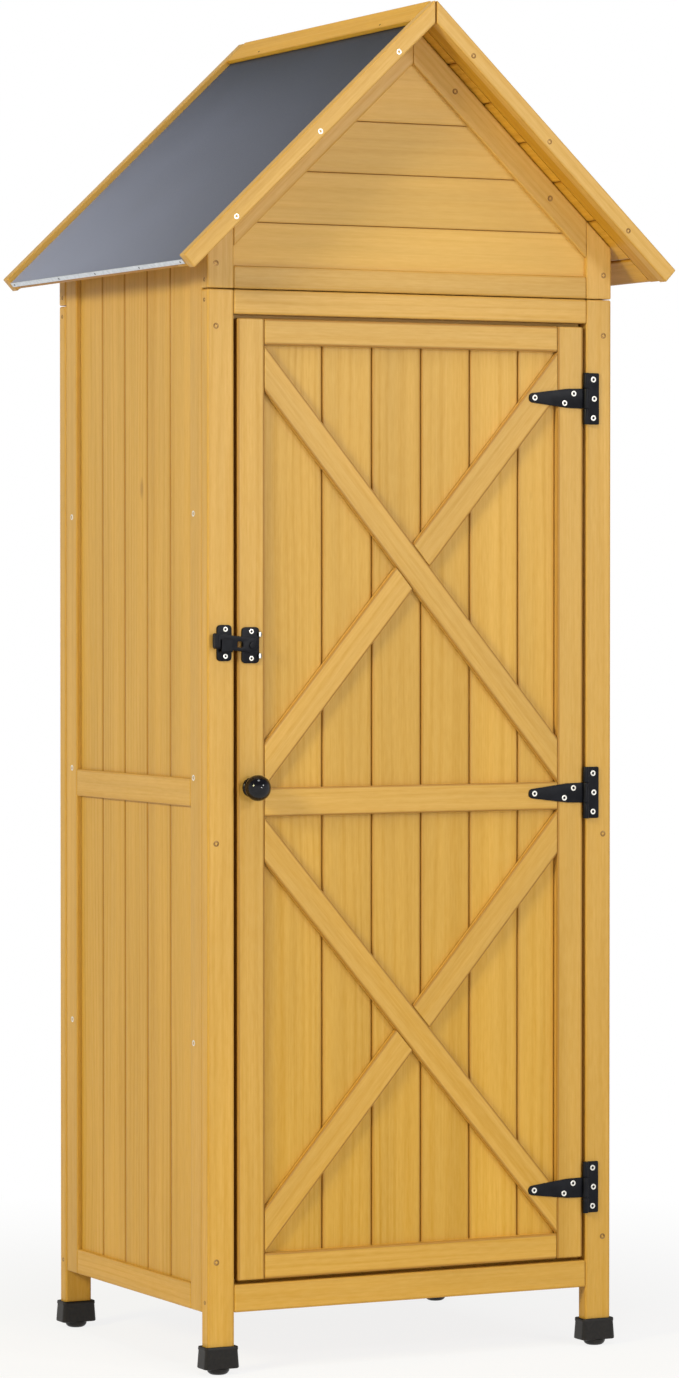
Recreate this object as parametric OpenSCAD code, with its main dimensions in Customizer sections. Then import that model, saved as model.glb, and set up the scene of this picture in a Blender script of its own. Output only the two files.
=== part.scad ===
// Tall free-standing wooden tool shed: four posts on levelling feet, boarded walls,
// a steep felted roof, and one braced and boarded door on three tee hinges with a drop latch.
// X runs across the front, Y runs to the back and Z up. The ground is Z 0.

/* [Body] */
// Width across the outer faces of the posts
body_w = 600; // [520:5:760]
// Depth across the outer faces of the posts
body_d = 480; // [400:5:620]
// Height of the post tops above the ground
post_top = 1409; // [1300:1:1600]
// Face width of a post
post_w = 38; // [36:1:50]
// Thickness of a post and of all that is flush with it
post_t = 20; // [18:1:26]
// Height of the lowest rails above the ground
wall_bottom = 80; // [60:1:120]

/* [Boarding] */
// Thickness of the wall boards
board_t = 10; // [8:0.5:11]
// Width of one wall board from joint to joint
board_pitch = 73; // [55:1:95]
// Narrowest board left at the edge of a wall
least_board_w = 20; // [10:1:30]
// Depth of the V joint between two boards
groove_d = 1.5; // [1:0.1:2]

/* [Side walls] */
// Thickness of the side frames
side_t = 16; // [14:0.5:20]
// Step from a post's outer face in to the side frame
side_reveal = 1; // [0.5:0.5:3]
// Width of a side stile
side_stile_w = 36; // [30:1:45]
// Height of the side top and bottom rails
side_rail_h = 34; // [30:1:36]
// Height of the middle rail on the side and back walls
wall_mid_rail_h = 37; // [30:1:45]
// Height of that rail's lower edge above the ground
wall_mid_rail_z = 737; // [600:1:850]

/* [Front and back frames] */
// Height of the rail over the door
header_h = 32; // [28:1:40]
// Height of the rail under the door
sill_h = 36; // [30:1:45]
// Thickness of the floor boards
floor_t = 12; // [10:1:15]
// Thickness of the bearers under the floor
bearer_w = 18; // [15:1:20]

/* [Gables] */
// Height of the gable wall at its outer edges
gable_end_h = 71; // [60:1:110]
// Height of the gable's bottom rail
gable_rail_h = 31; // [25:1:36]
// Width of the sloping gable boards
rake_w = 36; // [30:1:40]
// Step from the gable frame in to its boards
gable_reveal = 6; // [4:0.5:8]
// Step back of the gable frame's upper edge, where the deck sits on it
gable_rebate = 3; // [2:0.5:6]
// Height of that stepped edge
gable_slit = 1.2; // [0.8:0.1:4]
// Width of one gable board from joint to joint
gable_board_pitch = 68.5; // [55:0.5:90]
// Height of the lowest gable joint above the gable rail
gable_first_joint = 57; // [40:1:68]

/* [Roof] */
// Slope of the roof in degrees
roof_pitch = 43.4; // [38:0.1:46]
// Roof overhang beyond the posts at each eave
overhang_side = 63; // [50:1:110]
// Roof overhang in front of the posts
overhang_front = 65; // [50:1:90]
// Roof overhang behind the posts
overhang_back = 51; // [40:1:80]
// Thickness of the roof deck
deck_t = 11; // [8:0.5:14]
// Thickness of the soffit boards let into the underside of the deck's two ends
soffit_t = 4; // [3:0.5:6]
// Distance from a soffit board to the gable wall
soffit_gap = 20; // [10:1:30]
// Open joint between a soffit board and the deck
soffit_joint = 0.8; // [0.4:0.1:1.5]
// Thickness of the roofing felt
felt_t = 1.5; // [1:0.5:3]
// Height of the barge boards above the felt
barge_lip = 7; // [4:0.5:9]
// Depth of the barge boards below the deck
barge_drop = 2.5; // [1:0.5:5]
// Thickness of a barge board
barge_t = 17; // [10:0.5:20]
// Open joint between two barge boards at the ridge
barge_joint = 2.6; // [0.6:0.1:3]
// Width of a ridge board down the slope
ridge_board_w = 40; // [30:1:60]
// Thickness of the metal eave strip
strip_t = 1; // [0.5:0.1:1.5]
// Height of the eave strip on the edge of the felt and deck
strip_h = 7; // [5:0.5:9]

/* [Door] */
// Clear gap round the door
door_gap = 5; // [5:0.5:8]
// Width of a door stile
stile_w = 39; // [34:1:45]
// Height of the door's top and bottom rails
door_rail_h = 34; // [30:1:45]
// Height of the door's middle rail
door_mid_rail_h = 38; // [30:1:45]
// Height of the middle rail's lower edge above the ground
door_mid_rail_z = 724; // [650:1:800]
// Width of a diagonal brace
brace_w = 38; // [30:1:42]
// Thickness of the braces and middle rail that lie on the door's boards
brace_t = 8; // [6:0.5:9]
// Distance from the door's middle line to the next joint on its right
door_first_joint = 15.5; // [0:0.5:36]

/* [Hinges] */
// Height of the lowest hinge above the ground
hinge_low_z = 215; // [180:1:320]
// Height of the middle hinge above the ground
hinge_mid_z = 747; // [650:1:820]
// Height of the top hinge above the ground
hinge_top_z = 1276; // [1130:1:1310]
// Height of a hinge's post leaf
leaf_h = 69; // [60:1:85]
// Width of the post leaf from the hinge pin
leaf_w = 21; // [18:1:30]
// Length of the strap from the hinge pin
strap_l = 86; // [70:1:110]
// Height of the strap at the hinge pin
strap_root_h = 27; // [22:1:32]
// Height of the strap at its tip
strap_tip_h = 11.5; // [8:0.5:16]
// Thickness of the hinge plates
hinge_plate_t = 2; // [1.5:0.1:2.5]
// Outer radius of a knuckle
knuckle_r = 4; // [3.5:0.1:4.4]
// Radius of the hinge pin
pin_r = 2; // [1.6:0.1:2.4]

/* [Latch and knob] */
// Height of the latch pivot above the ground
latch_z = 948; // [820:1:1050]
// Length of the latch bar from its pivot to its tip
latch_bar_l = 56; // [54:1:62]
// Thickness of the latch bar
latch_bar_t = 3; // [2.5:0.1:4]
// Thickness of the latch plates
latch_plate_t = 2.5; // [2:0.1:3]
// Height of the latch plates
latch_plate_h = 47; // [40:1:55]
// Height of the knob above the ground
knob_z = 763; // [690:1:810]
// Radius of the knob's ball
knob_r = 17; // [14:0.5:18]
// Distance from the door's face to the middle of the ball
knob_out = 20; // [18:0.5:26]
// Radius of the knob's foot on the door
knob_foot_r = 13; // [11:0.5:15]

/* [Feet] */
// Height of a foot cap
cap_h = 29; // [22:1:36]
// Wall of a foot cap at its rim
cap_wall = 3; // [2.5:0.1:4]
// Flare of a foot cap from rim to base, on each side
cap_flare = 2; // [1:0.5:3]
// Thickness of the cap's base under the post
cap_base_t = 4; // [3:0.5:6]
// Height of the round glide under a cap
glide_h = 8; // [6:0.5:12]
// Radius of the glide where it meets the cap
glide_r = 15; // [13:0.5:18]

/* [Hidden] */
$fn = 64;
mitre_gap = 0.4;
seat_gap = 0.2;
over = 1;

// Plan of the body: the roof's middle is the origin, so the body sits off centre by half the
// difference of the two overhangs
roof_d = body_d + overhang_front + overhang_back;
front_y = -roof_d / 2 + overhang_front;
back_y = front_y + body_d;
inner_front_y = front_y + post_t;
inner_back_y = back_y - post_t;
half_w = body_w / 2;
bay_x = half_w - post_w;
post_z = glide_h + cap_base_t;

// Roof section
deck_n0 = barge_lip + felt_t;
deck_n1 = deck_n0 + deck_t;
soffit_n0 = deck_n1 - soffit_t;
seat_clear = 0.1;
barge_n1 = deck_n1 + barge_drop;
ridge_under_z = post_top + gable_end_h + half_w * tan(roof_pitch);
ridge_z = ridge_under_z + deck_n1 / cos(roof_pitch);
slope_l = (half_w + overhang_side) / cos(roof_pitch);

// Side walls
side_out_x = half_w - side_reveal;
side_in_x = side_out_x - side_t;
side_face_x = side_in_x + board_t;

// Front opening and door
sill_top = wall_bottom + sill_h;
header_z = post_top - header_h;
door_x = bay_x - door_gap;
door_z = sill_top + door_gap;
door_top = header_z - door_gap;
door_in_x = door_x - stile_w;
door_low_z = door_z + door_rail_h;
door_high_z = door_top - door_rail_h;
door_mid_top = door_mid_rail_z + door_mid_rail_h;

// Hinge pin line
hinge_x = bay_x - door_gap / 2;
hinge_y = front_y - knuckle_r;
pin_clear = 0.1;
knuckle_clear = 0.5;

// Latch: the bar swings on the door's plate and drops into the keeper on the post
latch_shift = 2;
latch_x = -(door_x - stile_w / 2 + latch_shift);
keeper_x = -(bay_x + post_w * 0.4);
keeper_w = 21;
base_w = 25;
plate_corner_r = 6;
latch_boss_r = 7;
latch_boss_t = 2.5;
latch_pin_r = 3;
latch_head_r = 5;
latch_head_t = 1.5;
latch_clear = 0.5;
bar_y = front_y - latch_plate_t - latch_boss_t - latch_clear;
bar_root_h = 19;
bar_tip_low = -4;
bar_tip_high = 16;
bar_window = 8;
tab_w = 6;
tab_out = 6;
keeper_hook_w = 16;
keeper_wall = 2;
ear_r = 4;
ear_rise = 14;

wood = [0.83, 0.63, 0.29];
wood_dark = [0.78, 0.56, 0.23];
felt_grey = [0.36, 0.38, 0.43];
zinc = [0.74, 0.77, 0.82];
black_iron = [0.07, 0.07, 0.09];
black_plastic = [0.13, 0.12, 0.13];

// A box between two opposite corners
module block(low, high) {
    translate(low) cube(high - low);
}

// An outline drawn across X and up Z, carried from one Y to another
module along_y(y0, y1) {
    translate([0, y1, 0]) rotate([90, 0, 0]) linear_extrude(y1 - y0) children();
}

// The same piece on both sides of the shed
module both_sides() {
    children();
    mirror([1, 0, 0]) children();
}

// The V cuts between upright boards, in a face at Y 0 that looks to -Y
module upright_joints(places, z0, z1) {
    for (x = places)
        translate([x, 0, z0 - over]) linear_extrude(z1 - z0 + 2 * over)
            polygon([[-groove_d - over, -over], [groove_d + over, -over], [0, groove_d]]);
}

// Joint places for boards laid out from the middle of a wall
function joints_across(half, first) =
    [for (x = first - ceil((first + half) / board_pitch) * board_pitch;
          x < half - least_board_w;
          x = x + board_pitch)
        if (x > -half + least_board_w) x];

// Upright boarding in the X-Z plane, with its jointed face at Y 0
module upright_boarding(half, z0, z1, first) {
    difference() {
        block([-half, 0, z0], [half, board_t, z1]);
        upright_joints(joints_across(half, first), z0, z1);
    }
}

// Posts and feet
module post(x_low, y_low) {
    color(wood) block([x_low, y_low, post_z], [x_low + post_w, y_low + post_t, post_top]);
}

module front_left_post() { post(-half_w, front_y); }
module front_right_post() { post(bay_x, front_y); }
module back_left_post() { post(-half_w, inner_back_y); }
module back_right_post() { post(bay_x, inner_back_y); }

module at_each_foot() {
    for (x = [-half_w + post_w / 2, half_w - post_w / 2], y = [front_y + post_t / 2, back_y - post_t / 2])
        translate([x, y, 0]) children();
}

// A block with one half size at the bottom and another at the top
module tapered_block(low, high, z0, z1) {
    polyhedron(
        points = [[-low[0], -low[1], z0], [low[0], -low[1], z0], [low[0], low[1], z0], [-low[0], low[1], z0],
                  [-high[0], -high[1], z1], [high[0], -high[1], z1], [high[0], high[1], z1], [-high[0], high[1], z1]],
        faces = [[0, 1, 2, 3], [7, 6, 5, 4], [4, 5, 1, 0], [5, 6, 2, 1], [6, 7, 3, 2], [7, 4, 0, 3]]);
}

module foot_cap() {
    rim = [post_w + 2 * cap_wall, post_t + 2 * cap_wall];
    base = rim + 2 * [cap_flare, cap_flare];
    difference() {
        tapered_block(base / 2, rim / 2, glide_h, glide_h + cap_h);
        translate([-post_w / 2 - seat_gap, -post_t / 2 - seat_gap, post_z])
            cube([post_w + 2 * seat_gap, post_t + 2 * seat_gap, cap_h]);
    }
}

module foot_caps() { color(black_plastic) at_each_foot() foot_cap(); }

// A shallow bowl with a flat sole half as wide as its rim
module foot_glide() {
    sole_r = glide_r / 2;
    rotate_extrude()
        polygon(concat(
            [[0, 0]],
            [for (a = [0 : 15 : 90]) [sole_r + (glide_r - sole_r) * sin(a), glide_h * (1 - cos(a))]],
            [[0, glide_h]]));
}

module foot_glides() { color(black_plastic) at_each_foot() foot_glide(); }

// Roof section: a point down the slope from the ridge and in from the top face, and the point on
// the ridge mitre at that depth
function slope_point(s, n) =
    [s * cos(roof_pitch) - n * sin(roof_pitch), ridge_z - s * sin(roof_pitch) - n * cos(roof_pitch)];
function ridge_point(n, gap) =
    [gap / 2, ridge_z - gap / 2 * tan(roof_pitch) - n / cos(roof_pitch)];
function under_z(x) = ridge_under_z - x * tan(roof_pitch);
function face_z(x) = under_z(x) - gable_slit / cos(roof_pitch);

module slope_layer(length, n0, n1, gap = mitre_gap) {
    polygon([ridge_point(n0, gap), slope_point(length, n0), slope_point(length, n1), ridge_point(n1, gap)]);
}

// Side walls, drawn on the right and mirrored for the left
module side_section(x0, x1, z0) {
    polygon([[x0, z0], [x1, z0], [x1, under_z(x1) - seat_clear], [x0, under_z(x0) - seat_clear]]);
}

side_stile_y0 = inner_front_y + side_stile_w;
side_stile_y1 = inner_back_y - side_stile_w;
side_low_z = wall_bottom + side_rail_h;
side_high_z = under_z(side_out_x) - side_rail_h;

module side_stiles() {
    color(wood) {
        along_y(inner_front_y, side_stile_y0) side_section(side_in_x, side_out_x, wall_bottom);
        along_y(side_stile_y1, inner_back_y) side_section(side_in_x, side_out_x, wall_bottom);
    }
}

module side_rails() {
    color(wood) {
        block([side_in_x, side_stile_y0, wall_bottom], [side_out_x, side_stile_y1, side_low_z]);
        along_y(side_stile_y0, side_stile_y1) side_section(side_in_x, side_out_x, side_high_z);
        block([side_face_x, side_stile_y0, wall_mid_rail_z],
              [side_out_x, side_stile_y1, wall_mid_rail_z + wall_mid_rail_h]);
    }
}

module side_boarding() {
    half = (side_stile_y1 - side_stile_y0) / 2;
    color(wood_dark)
        translate([side_face_x, (side_stile_y0 + side_stile_y1) / 2, 0]) rotate([0, 0, 90])
            upright_boarding(half, side_low_z, side_high_z, board_pitch / 2);
}

module left_side_stiles() { mirror([1, 0, 0]) side_stiles(); }
module left_side_rails() { mirror([1, 0, 0]) side_rails(); }
module left_side_boarding() { mirror([1, 0, 0]) side_boarding(); }
module right_side_stiles() { side_stiles(); }
module right_side_rails() { side_rails(); }
module right_side_boarding() { side_boarding(); }

// Back wall, boarded between the back posts with the boards flush inside
module back_rails() {
    color(wood) {
        block([-bay_x, inner_back_y, wall_bottom], [bay_x, back_y, sill_top]);
        block([-bay_x, inner_back_y, header_z], [bay_x, back_y, post_top]);
        block([-bay_x, inner_back_y + board_t, wall_mid_rail_z],
              [bay_x, back_y, wall_mid_rail_z + wall_mid_rail_h]);
    }
}

module back_boarding() {
    color(wood_dark)
        translate([0, inner_back_y + board_t, 0]) rotate([0, 0, 180])
            upright_boarding(bay_x, sill_top, header_z, 0);
}

// Front frame and floor
module front_header() {
    color(wood) block([-bay_x, front_y, header_z], [bay_x, inner_front_y, post_top]);
}

module front_sill() {
    color(wood) block([-bay_x, front_y, wall_bottom], [bay_x, inner_front_y, sill_top]);
}

floor_z = sill_top - floor_t;

module floor_bearers() {
    color(wood)
        for (y = [inner_front_y, inner_back_y - bearer_w])
            block([-side_in_x, y, floor_z - bearer_w], [side_in_x, y + bearer_w, floor_z]);
}

module floor_boarding() {
    half_depth = (inner_back_y - inner_front_y) / 2;
    color(wood_dark)
        difference() {
            block([-side_in_x, inner_front_y, floor_z], [side_in_x, inner_back_y, sill_top]);
            for (y = joints_across(half_depth, 0))
                translate([-side_in_x - over, (inner_front_y + inner_back_y) / 2 + y, sill_top])
                    rotate([90, 0, 90]) linear_extrude(2 * side_in_x + 2 * over)
                        polygon([[-groove_d - over, over], [groove_d + over, over], [0, -groove_d]]);
        }
}

// Gables, drawn for the front with the outer face at Y 0 and the inner face at Y post_t
gable_rail_top = post_top + gable_rail_h;
rake_drop = rake_w / cos(roof_pitch);

module gable_ends() {
    color(wood) {
        along_y(0, post_t) both_sides()
            polygon([[bay_x, post_top], [half_w, post_top], [half_w, face_z(half_w)], [bay_x, face_z(bay_x)]]);
        gable_seat(bay_x, half_w);
    }
}

// The upper edge of a gable piece, set back from its face
module gable_seat(x0, x1) {
    along_y(gable_rebate, post_t) both_sides()
        polygon([[x0, face_z(x0)], [x1, face_z(x1)], [x1, under_z(x1)], [x0, under_z(x0)]]);
}

module gable_rail() {
    color(wood) block([-bay_x, 0, post_top], [bay_x, post_t, gable_rail_top]);
}

module gable_rakes() {
    m = mitre_gap / 2;
    color(wood) {
        along_y(0, post_t) both_sides()
            polygon([[m, face_z(m)], [bay_x, face_z(bay_x)],
                     [bay_x, face_z(bay_x) - rake_drop], [m, face_z(m) - rake_drop]]);
        gable_seat(m, bay_x);
    }
}

module gable_boarding() {
    corner_z = face_z(bay_x) - rake_drop;
    peak_z = face_z(0) - rake_drop;
    color(wood_dark)
        difference() {
            along_y(gable_reveal, gable_reveal + board_t)
                polygon([[-bay_x, gable_rail_top], [bay_x, gable_rail_top], [bay_x, corner_z],
                         [0, peak_z], [-bay_x, corner_z]]);
            for (z = [gable_rail_top + gable_first_joint : gable_board_pitch : peak_z - least_board_w])
                translate([-bay_x - over, gable_reveal, z]) rotate([90, 0, 90])
                    linear_extrude(2 * (bay_x + over))
                        polygon([[-over, -groove_d - over], [groove_d, 0], [-over, groove_d + over]]);
        }
}

module at_front() { translate([0, front_y, 0]) children(); }
module at_back() { translate([0, back_y, 0]) rotate([0, 0, 180]) children(); }

module front_gable_ends() { at_front() gable_ends(); }
module front_gable_rail() { at_front() gable_rail(); }
module front_gable_rakes() { at_front() gable_rakes(); }
module front_gable_boarding() { at_front() gable_boarding(); }
module back_gable_ends() { at_back() gable_ends(); }
module back_gable_rail() { at_back() gable_rail(); }
module back_gable_rakes() { at_back() gable_rakes(); }
module back_gable_boarding() { at_back() gable_boarding(); }

// Roof: the deck with a soffit board let into each end, the felt sunk below the barge boards, the
// ridge boards and the eave strips
deck_y0 = -roof_d / 2 + barge_t;
deck_y1 = roof_d / 2 - barge_t;
soffit_y0 = front_y - soffit_gap;
soffit_y1 = back_y + soffit_gap;

module roof_deck() {
    color(wood_dark)
        difference() {
            along_y(deck_y0, deck_y1) slope_layer(slope_l, deck_n0, deck_n1);
            for (y = [[deck_y0 - over, soffit_y0 + soffit_joint], [soffit_y1 - soffit_joint, deck_y1 + over]])
                along_y(y[0], y[1]) slope_layer(slope_l + over, soffit_n0 - seat_clear, deck_n1 + over, 0);
        }
}

module right_roof_deck() { roof_deck(); }
module left_roof_deck() { mirror([1, 0, 0]) roof_deck(); }

module roof_soffit_boards() {
    color(wood)
        for (y = [[deck_y0, soffit_y0], [soffit_y1, deck_y1]])
            along_y(y[0], y[1]) both_sides() slope_layer(slope_l, soffit_n0, deck_n1);
}

module roof_felts() {
    color(felt_grey)
        along_y(deck_y0, deck_y1) both_sides() slope_layer(slope_l, barge_lip, deck_n0);
}

module barge_boards(y0) {
    color(wood) along_y(y0, y0 + barge_t) both_sides() slope_layer(slope_l, 0, barge_n1, barge_joint);
}

module front_barge_boards() { barge_boards(-roof_d / 2); }
module back_barge_boards() { barge_boards(deck_y1); }

module ridge_boards() {
    color(wood) along_y(deck_y0, deck_y1) both_sides() slope_layer(ridge_board_w, 0, barge_lip - seat_clear);
}

module eave_strips() {
    color(zinc)
        along_y(deck_y0, deck_y1) both_sides()
            polygon([slope_point(slope_l, barge_lip), slope_point(slope_l + strip_t, barge_lip),
                     slope_point(slope_l + strip_t, barge_lip + strip_h),
                     slope_point(slope_l, barge_lip + strip_h)]);
}

// Door: a full-thickness frame, boards set back in it, and a middle rail and braces on the boards
module door_stiles() {
    color(wood) both_sides()
        block([door_in_x, front_y, door_z], [door_x, inner_front_y, door_top]);
}

module door_rails() {
    color(wood) {
        block([-door_in_x, front_y, door_z], [door_in_x, inner_front_y, door_low_z]);
        block([-door_in_x, front_y, door_high_z], [door_in_x, inner_front_y, door_top]);
        block([-door_in_x, front_y, door_mid_rail_z], [door_in_x, front_y + brace_t, door_mid_top]);
    }
}

module door_boarding() {
    color(wood_dark)
        translate([0, front_y + brace_t, 0])
            upright_boarding(door_in_x, door_low_z, door_high_z, door_first_joint);
}

// One brace rises from the lower left corner to the upper right one; its ends are cut upright.
// The angle t for which a brace of this width fits corner to corner solves w = rise cos t - run sin t.
function brace_angle(run, rise) = acos(brace_w / norm([run, rise])) - atan2(run, rise);
function brace_end(run, rise) = brace_w / cos(brace_angle(run, rise));

module brace_outline(run, rise) {
    end = brace_end(run, rise);
    polygon([[-run / 2, 0], [run / 2, rise - end], [run / 2, rise], [-run / 2, end]]);
}

// The falling brace runs through, and the rising brace is cut where it meets it
module crossed_braces(z0, z1) {
    run = 2 * door_in_x;
    rise = z1 - z0;
    color(wood)
        translate([0, 0, z0]) along_y(front_y, front_y + brace_t) {
            mirror([1, 0]) brace_outline(run, rise);
            difference() {
                brace_outline(run, rise);
                mirror([1, 0]) brace_cut(run, rise);
            }
        }
}

// The through brace with a hairline all round, lengthened past its ends
module brace_cut(run, rise) {
    end = brace_end(run, rise);
    slope = (rise - end) / run;
    reach = run / 2 + over;
    hair = mitre_gap / cos(brace_angle(run, rise));
    mid = rise / 2;
    polygon([[-reach, mid - slope * reach - end / 2 - hair], [reach, mid + slope * reach - end / 2 - hair],
             [reach, mid + slope * reach + end / 2 + hair], [-reach, mid - slope * reach + end / 2 + hair]]);
}

module upper_braces() { crossed_braces(door_mid_top, door_high_z); }
module lower_braces() { crossed_braces(door_low_z, door_mid_rail_z); }

// Tee hinges: the leaf with two knuckles and the pin stays on the post, the strap swings on the pin
module at_each_hinge() {
    for (z = [hinge_low_z, hinge_mid_z, hinge_top_z]) translate([hinge_x, 0, z]) children();
}

module knuckle(z0, z1, bore_r) {
    translate([0, hinge_y, z0]) difference() {
        cylinder(h = z1 - z0, r = knuckle_r);
        if (bore_r > 0) translate([0, 0, -over]) cylinder(h = z1 - z0 + 2 * over, r = bore_r);
    }
}

module hinge_leaf() {
    eye_z = strap_root_h / 2 + knuckle_clear;
    plate_x = knuckle_r + knuckle_clear;
    block([plate_x, front_y - hinge_plate_t, -leaf_h / 2], [leaf_w, front_y, leaf_h / 2]);
    for (side = [-1, 1]) {
        z0 = side > 0 ? eye_z : -leaf_h / 2;
        z1 = side > 0 ? leaf_h / 2 : -eye_z;
        block([0, front_y - hinge_plate_t, z0], [plate_x + over, front_y, z1]);
        knuckle(z0, z1, 0);
    }
    translate([0, hinge_y, -leaf_h / 2]) cylinder(h = leaf_h, r = pin_r);
}

module hinge_strap() {
    tip_r = strap_tip_h / 2;
    shoulder_x = -strap_l * 0.32;
    difference() {
        union() {
            along_y(front_y - hinge_plate_t, front_y) {
                polygon([[0, -strap_root_h / 2], [0, strap_root_h / 2],
                         [shoulder_x, strap_root_h / 2 - over],
                         [tip_r - strap_l, tip_r], [tip_r - strap_l, -tip_r],
                         [shoulder_x, over - strap_root_h / 2]]);
                translate([tip_r - strap_l, 0]) circle(tip_r);
            }
            knuckle(-strap_root_h / 2, strap_root_h / 2, 0);
        }
        translate([0, hinge_y, -strap_root_h]) cylinder(h = 2 * strap_root_h, r = pin_r + pin_clear);
    }
}

module hinge_leaves() { color(black_iron) at_each_hinge() hinge_leaf(); }
module hinge_straps() { color(black_iron) at_each_hinge() hinge_strap(); }

// Knob: a ball on a short flared neck
module door_knob() {
    knob_x = -(door_x - stile_w / 2);
    neck_r = knob_foot_r * 0.75;
    foot_t = 4;
    color(black_plastic)
        translate([knob_x, front_y, knob_z]) rotate([90, 0, 0]) {
            cylinder(h = foot_t, r = knob_foot_r);
            cylinder(h = knob_out, r = neck_r);
            translate([0, 0, knob_out]) sphere(knob_r);
        }
}

// Latch plates with rounded corners
module plate_outline(w, h) {
    r = plate_corner_r;
    square([w - 2 * r, h], center = true);
    square([w, h - 2 * r], center = true);
    for (x = [r - w / 2, w / 2 - r], y = [r - h / 2, h / 2 - r]) translate([x, y]) circle(r);
}

module out_from(y, thickness) {
    along_y(y - thickness, y) children();
}

module out_cylinder(y, thickness, r) {
    translate([0, y, 0]) rotate([90, 0, 0]) cylinder(h = thickness, r = r);
}

pin_out = latch_boss_t + latch_bar_t + 2 * latch_clear;
bar_mid = (bar_tip_low + bar_tip_high) / 2;

module latch_base() {
    color(black_iron)
        translate([latch_x, 0, latch_z]) {
            out_from(front_y, latch_plate_t) {
                plate_outline(base_w, latch_plate_h);
                for (z = [-ear_rise, ear_rise]) translate([base_w / 2, z]) circle(ear_r);
            }
            out_cylinder(front_y - latch_plate_t, latch_boss_t, latch_boss_r);
            out_cylinder(front_y - latch_plate_t, pin_out, latch_pin_r);
            out_cylinder(front_y - latch_plate_t - pin_out, latch_head_t, latch_head_r);
        }
}

module latch_bar() {
    window_x = -bar_window * 2.2;
    color(black_iron)
        translate([latch_x, 0, latch_z]) {
            difference() {
                out_from(bar_y, latch_bar_t) {
                    circle(bar_root_h / 2);
                    polygon([[0, -bar_root_h / 2], [0, bar_root_h / 2],
                             [-latch_bar_l, bar_tip_high], [-latch_bar_l, bar_tip_low]]);
                }
                out_cylinder(bar_y + over, latch_bar_t + 2 * over, latch_pin_r + pin_clear);
                translate([window_x, bar_y, 1])
                    cube([bar_window, 3 * latch_bar_t, bar_window], center = true);
            }
            block([-latch_bar_l, bar_y - latch_bar_t - tab_out, bar_tip_low],
                  [tab_w - latch_bar_l, bar_y - latch_bar_t, bar_tip_high]);
        }
}

module latch_keeper() {
    lip_y = bar_y - latch_bar_t - 2 * latch_clear;
    hook = keeper_hook_w / 2;
    reach = latch_x - keeper_x - hook;
    bar_low = (bar_tip_low + bar_root_h / 2) * reach / latch_bar_l - bar_root_h / 2;
    ledge_z = bar_low - latch_clear;
    color(black_iron)
        translate([keeper_x, 0, latch_z]) {
            out_from(front_y, latch_plate_t) translate([0, bar_mid / 2]) plate_outline(keeper_w, latch_plate_h);
            block([-hook, lip_y - keeper_wall, ledge_z - keeper_wall], [hook, front_y - latch_plate_t, ledge_z]);
            block([-hook, lip_y - keeper_wall, ledge_z], [hook, lip_y, bar_tip_high / 2]);
        }
}

front_left_post();
front_right_post();
back_left_post();
back_right_post();
foot_caps();
foot_glides();
left_side_stiles();
left_side_rails();
left_side_boarding();
right_side_stiles();
right_side_rails();
right_side_boarding();
back_rails();
back_boarding();
front_header();
front_sill();
floor_bearers();
floor_boarding();
front_gable_ends();
front_gable_rail();
front_gable_rakes();
front_gable_boarding();
back_gable_ends();
back_gable_rail();
back_gable_rakes();
back_gable_boarding();
left_roof_deck();
right_roof_deck();
roof_soffit_boards();
roof_felts();
front_barge_boards();
back_barge_boards();
ridge_boards();
eave_strips();
door_stiles();
door_rails();
door_boarding();
upper_braces();
lower_braces();
hinge_leaves();
hinge_straps();
door_knob();
latch_keeper();
latch_base();
latch_bar();
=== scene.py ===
import bpy
import numpy as np
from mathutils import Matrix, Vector


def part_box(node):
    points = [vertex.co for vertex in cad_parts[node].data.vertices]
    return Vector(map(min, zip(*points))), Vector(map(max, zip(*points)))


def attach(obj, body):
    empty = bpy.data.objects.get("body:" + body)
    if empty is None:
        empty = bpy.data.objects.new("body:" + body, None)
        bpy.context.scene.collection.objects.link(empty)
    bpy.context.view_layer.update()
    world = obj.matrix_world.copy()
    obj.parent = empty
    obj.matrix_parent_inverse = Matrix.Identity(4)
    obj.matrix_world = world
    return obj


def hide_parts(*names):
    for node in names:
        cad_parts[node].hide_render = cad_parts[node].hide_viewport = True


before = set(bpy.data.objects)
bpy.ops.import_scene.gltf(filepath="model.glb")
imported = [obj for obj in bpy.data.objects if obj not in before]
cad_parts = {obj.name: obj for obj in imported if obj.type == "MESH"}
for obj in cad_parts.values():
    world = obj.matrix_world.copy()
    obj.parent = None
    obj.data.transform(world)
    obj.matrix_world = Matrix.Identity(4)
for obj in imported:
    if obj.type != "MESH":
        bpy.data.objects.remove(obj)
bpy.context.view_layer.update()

chance = np.random.default_rng(41)  # one seeded source for every board's tint and place in the log
xAxis, yAxis, zAxis = np.eye(3)
print("stage: frame loaded")

# Camera: where the picture was taken from, long lens, eye a little above the door's middle
viewpoint = {"place": (-3.0149, -6.0085, 1.0294), "yaw": 26.707, "down": 1.237, "lens": 128.9}


def setCamera():
    data = bpy.data.cameras.new("viewpoint")
    data.lens = viewpoint["lens"]
    data.sensor_width = 36.0
    data.clip_end = 60.0
    eye = bpy.data.objects.new("viewpoint", data)
    eye.location = viewpoint["place"]
    eye.rotation_euler = (np.radians(90.0 - viewpoint["down"]), 0.0, np.radians(-viewpoint["yaw"]))
    bpy.context.collection.objects.link(eye)
    bpy.context.scene.camera = eye


setCamera()
print("stage: camera set")


def boxOf(node):
    return np.array(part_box(node))


def unit(vector):
    vector = np.asarray(vector, float)
    return vector / np.linalg.norm(vector)


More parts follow.
